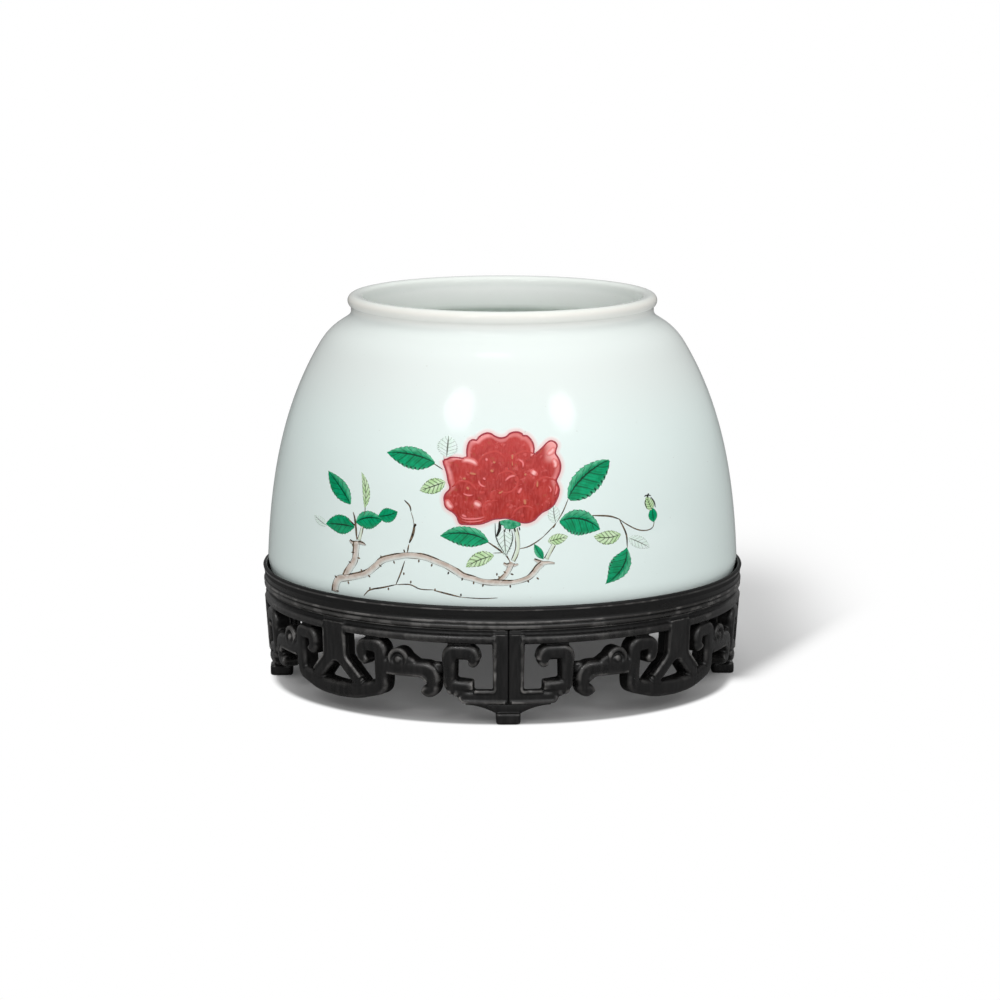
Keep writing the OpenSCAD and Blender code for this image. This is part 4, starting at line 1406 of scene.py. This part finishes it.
def flower_colour(f):
    """The red ground with a broken pale line inside the upper rim."""
    out = f.mark("across")
    rim = out.step(0.87, 0.94) * out.step(1.0, 0.95) * f.axis("Z").step(0.055, 0.059)
    rim = rim * (0.5 + 0.5 * f.noise(5, seed=4.0).step(0.4, 0.6))
    return f.mix(rim * 0.85, petal_red(f), paint(244, 160, 160))


def touch_colour(f):
    """One colour after another by the touch's tone. The soft ones fade into the red at their edges."""
    tone = f.mark("tone")
    colour = f.mix(tone.step(0.05, 0.15), paint(246, 186, 184), paint(234, 128, 130))
    colour = f.mix(tone.step(0.25, 0.35), colour, paint(196, 124, 92))
    colour = f.mix(tone.step(0.45, 0.55), colour, paint(192, 70, 66))
    faded = 1 - abs(f.mark("across")).step(0.56, 0) * abs(2 * f.mark("along") - 1).step(0.95, 0.4)
    around = f.mix(tone.step(0.15, 0.05) * 0.6, petal_red(f), paint(222, 112, 110))
    colour = f.mix(faded * tone.step(0.62, 0.58), colour, around)
    colour = f.mix(tone.step(0.62, 0.66), colour, paint(156, 54, 66))
    green = f.mix(f.noise(0.8).step(0.3, 0.7), paint(10, 130, 84), paint(84, 176, 138))
    colour = f.mix(tone.step(0.74, 0.78), colour, green)
    return f.mix(tone.step(0.88, 0.95), colour, paint(30, 30, 28))


coat(halo, enamel("flower_halo", halo_colour))
coat(flower, enamel("flower_red", flower_colour))
coat(touched, enamel("enamel_touches", touch_colour))
print("flower coated, with", len(touches), "touches")

# %% [markdown]
# The photograph's ground was cleared to white, with the shade under the stand, to its right and behind it
# kept. So the camera sees a table that shines plain white but for those places, where it is matt and takes
# the real shadow, with its colour painted darker as well: a painted shadow to the right and a deeper painted
# shade just inside the front of the stand. Reflections see it dark near by and white far off in front, and
# the light that it throws back up is that of a mid grey. Each pair of numbers is where a soft limit starts
# and ends, in metres.

# %% Table
TABLE_HALF = 3.0
FOOTPRINT = (0.0574, 0.0602)
SHADE_WAY = (0.907, 0.422)
SHADE_EDGE = (0.066, 0.055)
SHADE_FRONT, SHADE_BACK = (-0.016, -0.004), (0.22, 0.1)
SHADE_LEFT, SHADE_RIGHT = (-0.01, 0.03), (0.113, 0.07)
BEHIND_FRONT, BEHIND_BACK, BEHIND_SIDE = (0.0, 0.02), (0.26, 0.22), (0.058, 0.052)
PAINTED_SHADE_REACH, PAINTED_SHADE_FRONT = (0.042, 0.056), (0.0, -0.03)
FAR_OFF, IN_FRONT = (0.4, 0.8), (0.2, -0.2)
LEAST_WHITE = 0.07


def grey(value):
    """A neutral colour of this linear value."""
    return (value, value, value, 1)


corners = TABLE_HALF * np.array([[-1, -1, 0], [1, -1, 0], [1, 1, 0], [-1, 1, 0]])
table = in_scene("table", mesh_of("table", corners, [np.array([[0, 1, 2, 3]])]))
cloth = Finish("white_table")
camera_sees = cloth.rays("Camera")
gloss_sees = cloth.rays("Glossy", "Transmission")
away = cloth.node("ShaderNodeVectorMath", {"operation": "LENGTH"}, {0: cloth.place()}, out="Value")
x, y = cloth.axis("X"), cloth.axis("Y")
in_shade = y.step(*SHADE_FRONT) * x.step(*SHADE_LEFT) * x.step(*SHADE_RIGHT) * y.step(*SHADE_BACK)
in_shade = in_shade * (SHADE_WAY[0] * x - SHADE_WAY[1] * y).step(*SHADE_EDGE)
behind = y.step(*BEHIND_FRONT) * abs(x).step(*BEHIND_SIDE) * y.step(*BEHIND_BACK)
painted_shade_under_front = away.step(*PAINTED_SHADE_REACH) * y.step(*PAINTED_SHADE_FRONT)
cleared = away.step(*FOOTPRINT) * (1 - in_shade) * (1 - behind)
whiteness = (LEAST_WHITE + (1 - LEAST_WHITE) * cleared) * camera_sees
whiteness = whiteness + away.step(*FAR_OFF) * y.step(*IN_FRONT) * gloss_sees
# in the shade to the right the colour is darker too: a painted shadow over the real one
seen = cloth.mix(in_shade, grey(0.85), grey(0.62))
# just inside the front of the stand: a darker painted shade
seen = cloth.mix(painted_shade_under_front, seen, grey(0.4))
matt = cloth.mix(camera_sees, grey(0.5), seen)
matt = cloth.mix(gloss_sees, matt, grey(0.2))
lit = cloth.node("ShaderNodeBsdfDiffuse", {}, {"Color": matt})
white = cloth.node("ShaderNodeEmission", {}, {"Color": grey(1), "Strength": 1.0})
shown = cloth.node("ShaderNodeMixShader", {}, {0: whiteness, 1: lit, 2: white})
cloth.node("ShaderNodeOutputMaterial", {}, {"Surface": shown})
coat(table, cloth.holder)
print("table:", 2 * TABLE_HALF, "m square")

# %% [markdown]
# Two round softboxes stand in front of the object. They show as the two soft lights on the pot's shoulder,
# and the left one throws the shadow to the right. A third, weaker one hangs overhead. Point lamps would light
# it too, but a glossy pot mirrors a lamp's shape, and area lamps have the right one.

# %% Lamps
AIM_HEIGHT = 0.07


def softbox(name, azimuth, elevation, reach, size, radiance):
    """A round area lamp aimed at the pot. Its power is radiance times its area times pi."""
    data = bpy.data.lights.new(name, "AREA")
    data.shape = "DISK"
    data.size = size
    data.energy = radiance * np.pi * np.pi * size**2 / 4
    lamp = in_scene(name, data)
    turn, up = np.radians(azimuth) + VIEW_TURN - np.pi / 2, np.radians(elevation)
    way = np.array([np.cos(up) * np.cos(turn), np.cos(up) * np.sin(turn), np.sin(up)])
    lamp.location = way * reach + [0, 0, AIM_HEIGHT]
    lamp.rotation_euler = (np.pi / 2 - up, 0, turn + np.pi / 2)
    return lamp


lamps = [
    softbox("softbox_left", -26.4, 36, 1.4, 0.38, 6.8),
    softbox("softbox_right", 36.4, 34, 1.4, 0.32, 7.2),
    softbox("softbox_top", -15, 76, 1.4, 0.34, 3.0),
]
print("lamps:", [lamp.name for lamp in lamps])

# %% [markdown]
# The rest of the light is plain: a light tent that is brightest overhead, and a weaker light from the
# front. The camera sees the room as white. Reflections see it dark, apart from the top in front and the far
# side, which keeps the wood black.

# %% Room
FRONT_LIGHT = 0.46
BACK_LIGHT = 0.04
TENT_LIGHT = 1.15
TENT_LEAN, TENT_ASIDE = 0.35, 0.06
EVEN_LIGHT = 0.02
MIRROR_TOP = 0.95
MIRROR_BACK = 0.25
MIRROR_EVEN = 0.06
air = Finish("room", "worlds")
bpy.context.scene.world = air.holder
direction = air.node("ShaderNodeTexCoord", out="Generated")
rightward, backward, upward = (
    air.node("ShaderNodeSeparateXYZ", {}, {0: direction}, out=axis) for axis in "XYZ"
)
room_light = EVEN_LIGHT + FRONT_LIGHT * backward.step(-0.1, -0.6) + BACK_LIGHT * backward.step(0.0, 1.0)
room_light = room_light + TENT_LIGHT * (upward - TENT_LEAN * backward + TENT_ASIDE * rightward).step(0.15, 1)
mirrored_room = MIRROR_EVEN + MIRROR_BACK * backward.step(-0.1, 0.8)
mirrored_room = mirrored_room + MIRROR_TOP * (upward - backward).step(0.45, 1.4)
glossy = air.rays("Glossy", "Transmission")
level = room_light * (1 - glossy) + mirrored_room * glossy
camera_ray = air.rays("Camera")
strength = camera_ray + (1 - camera_ray) * level
sky = air.node("ShaderNodeBackground", {}, {"Color": grey(1), "Strength": strength})
air.node("ShaderNodeOutputWorld", {}, {"Surface": sky})
print("room:", len(air.tree.nodes), "nodes")
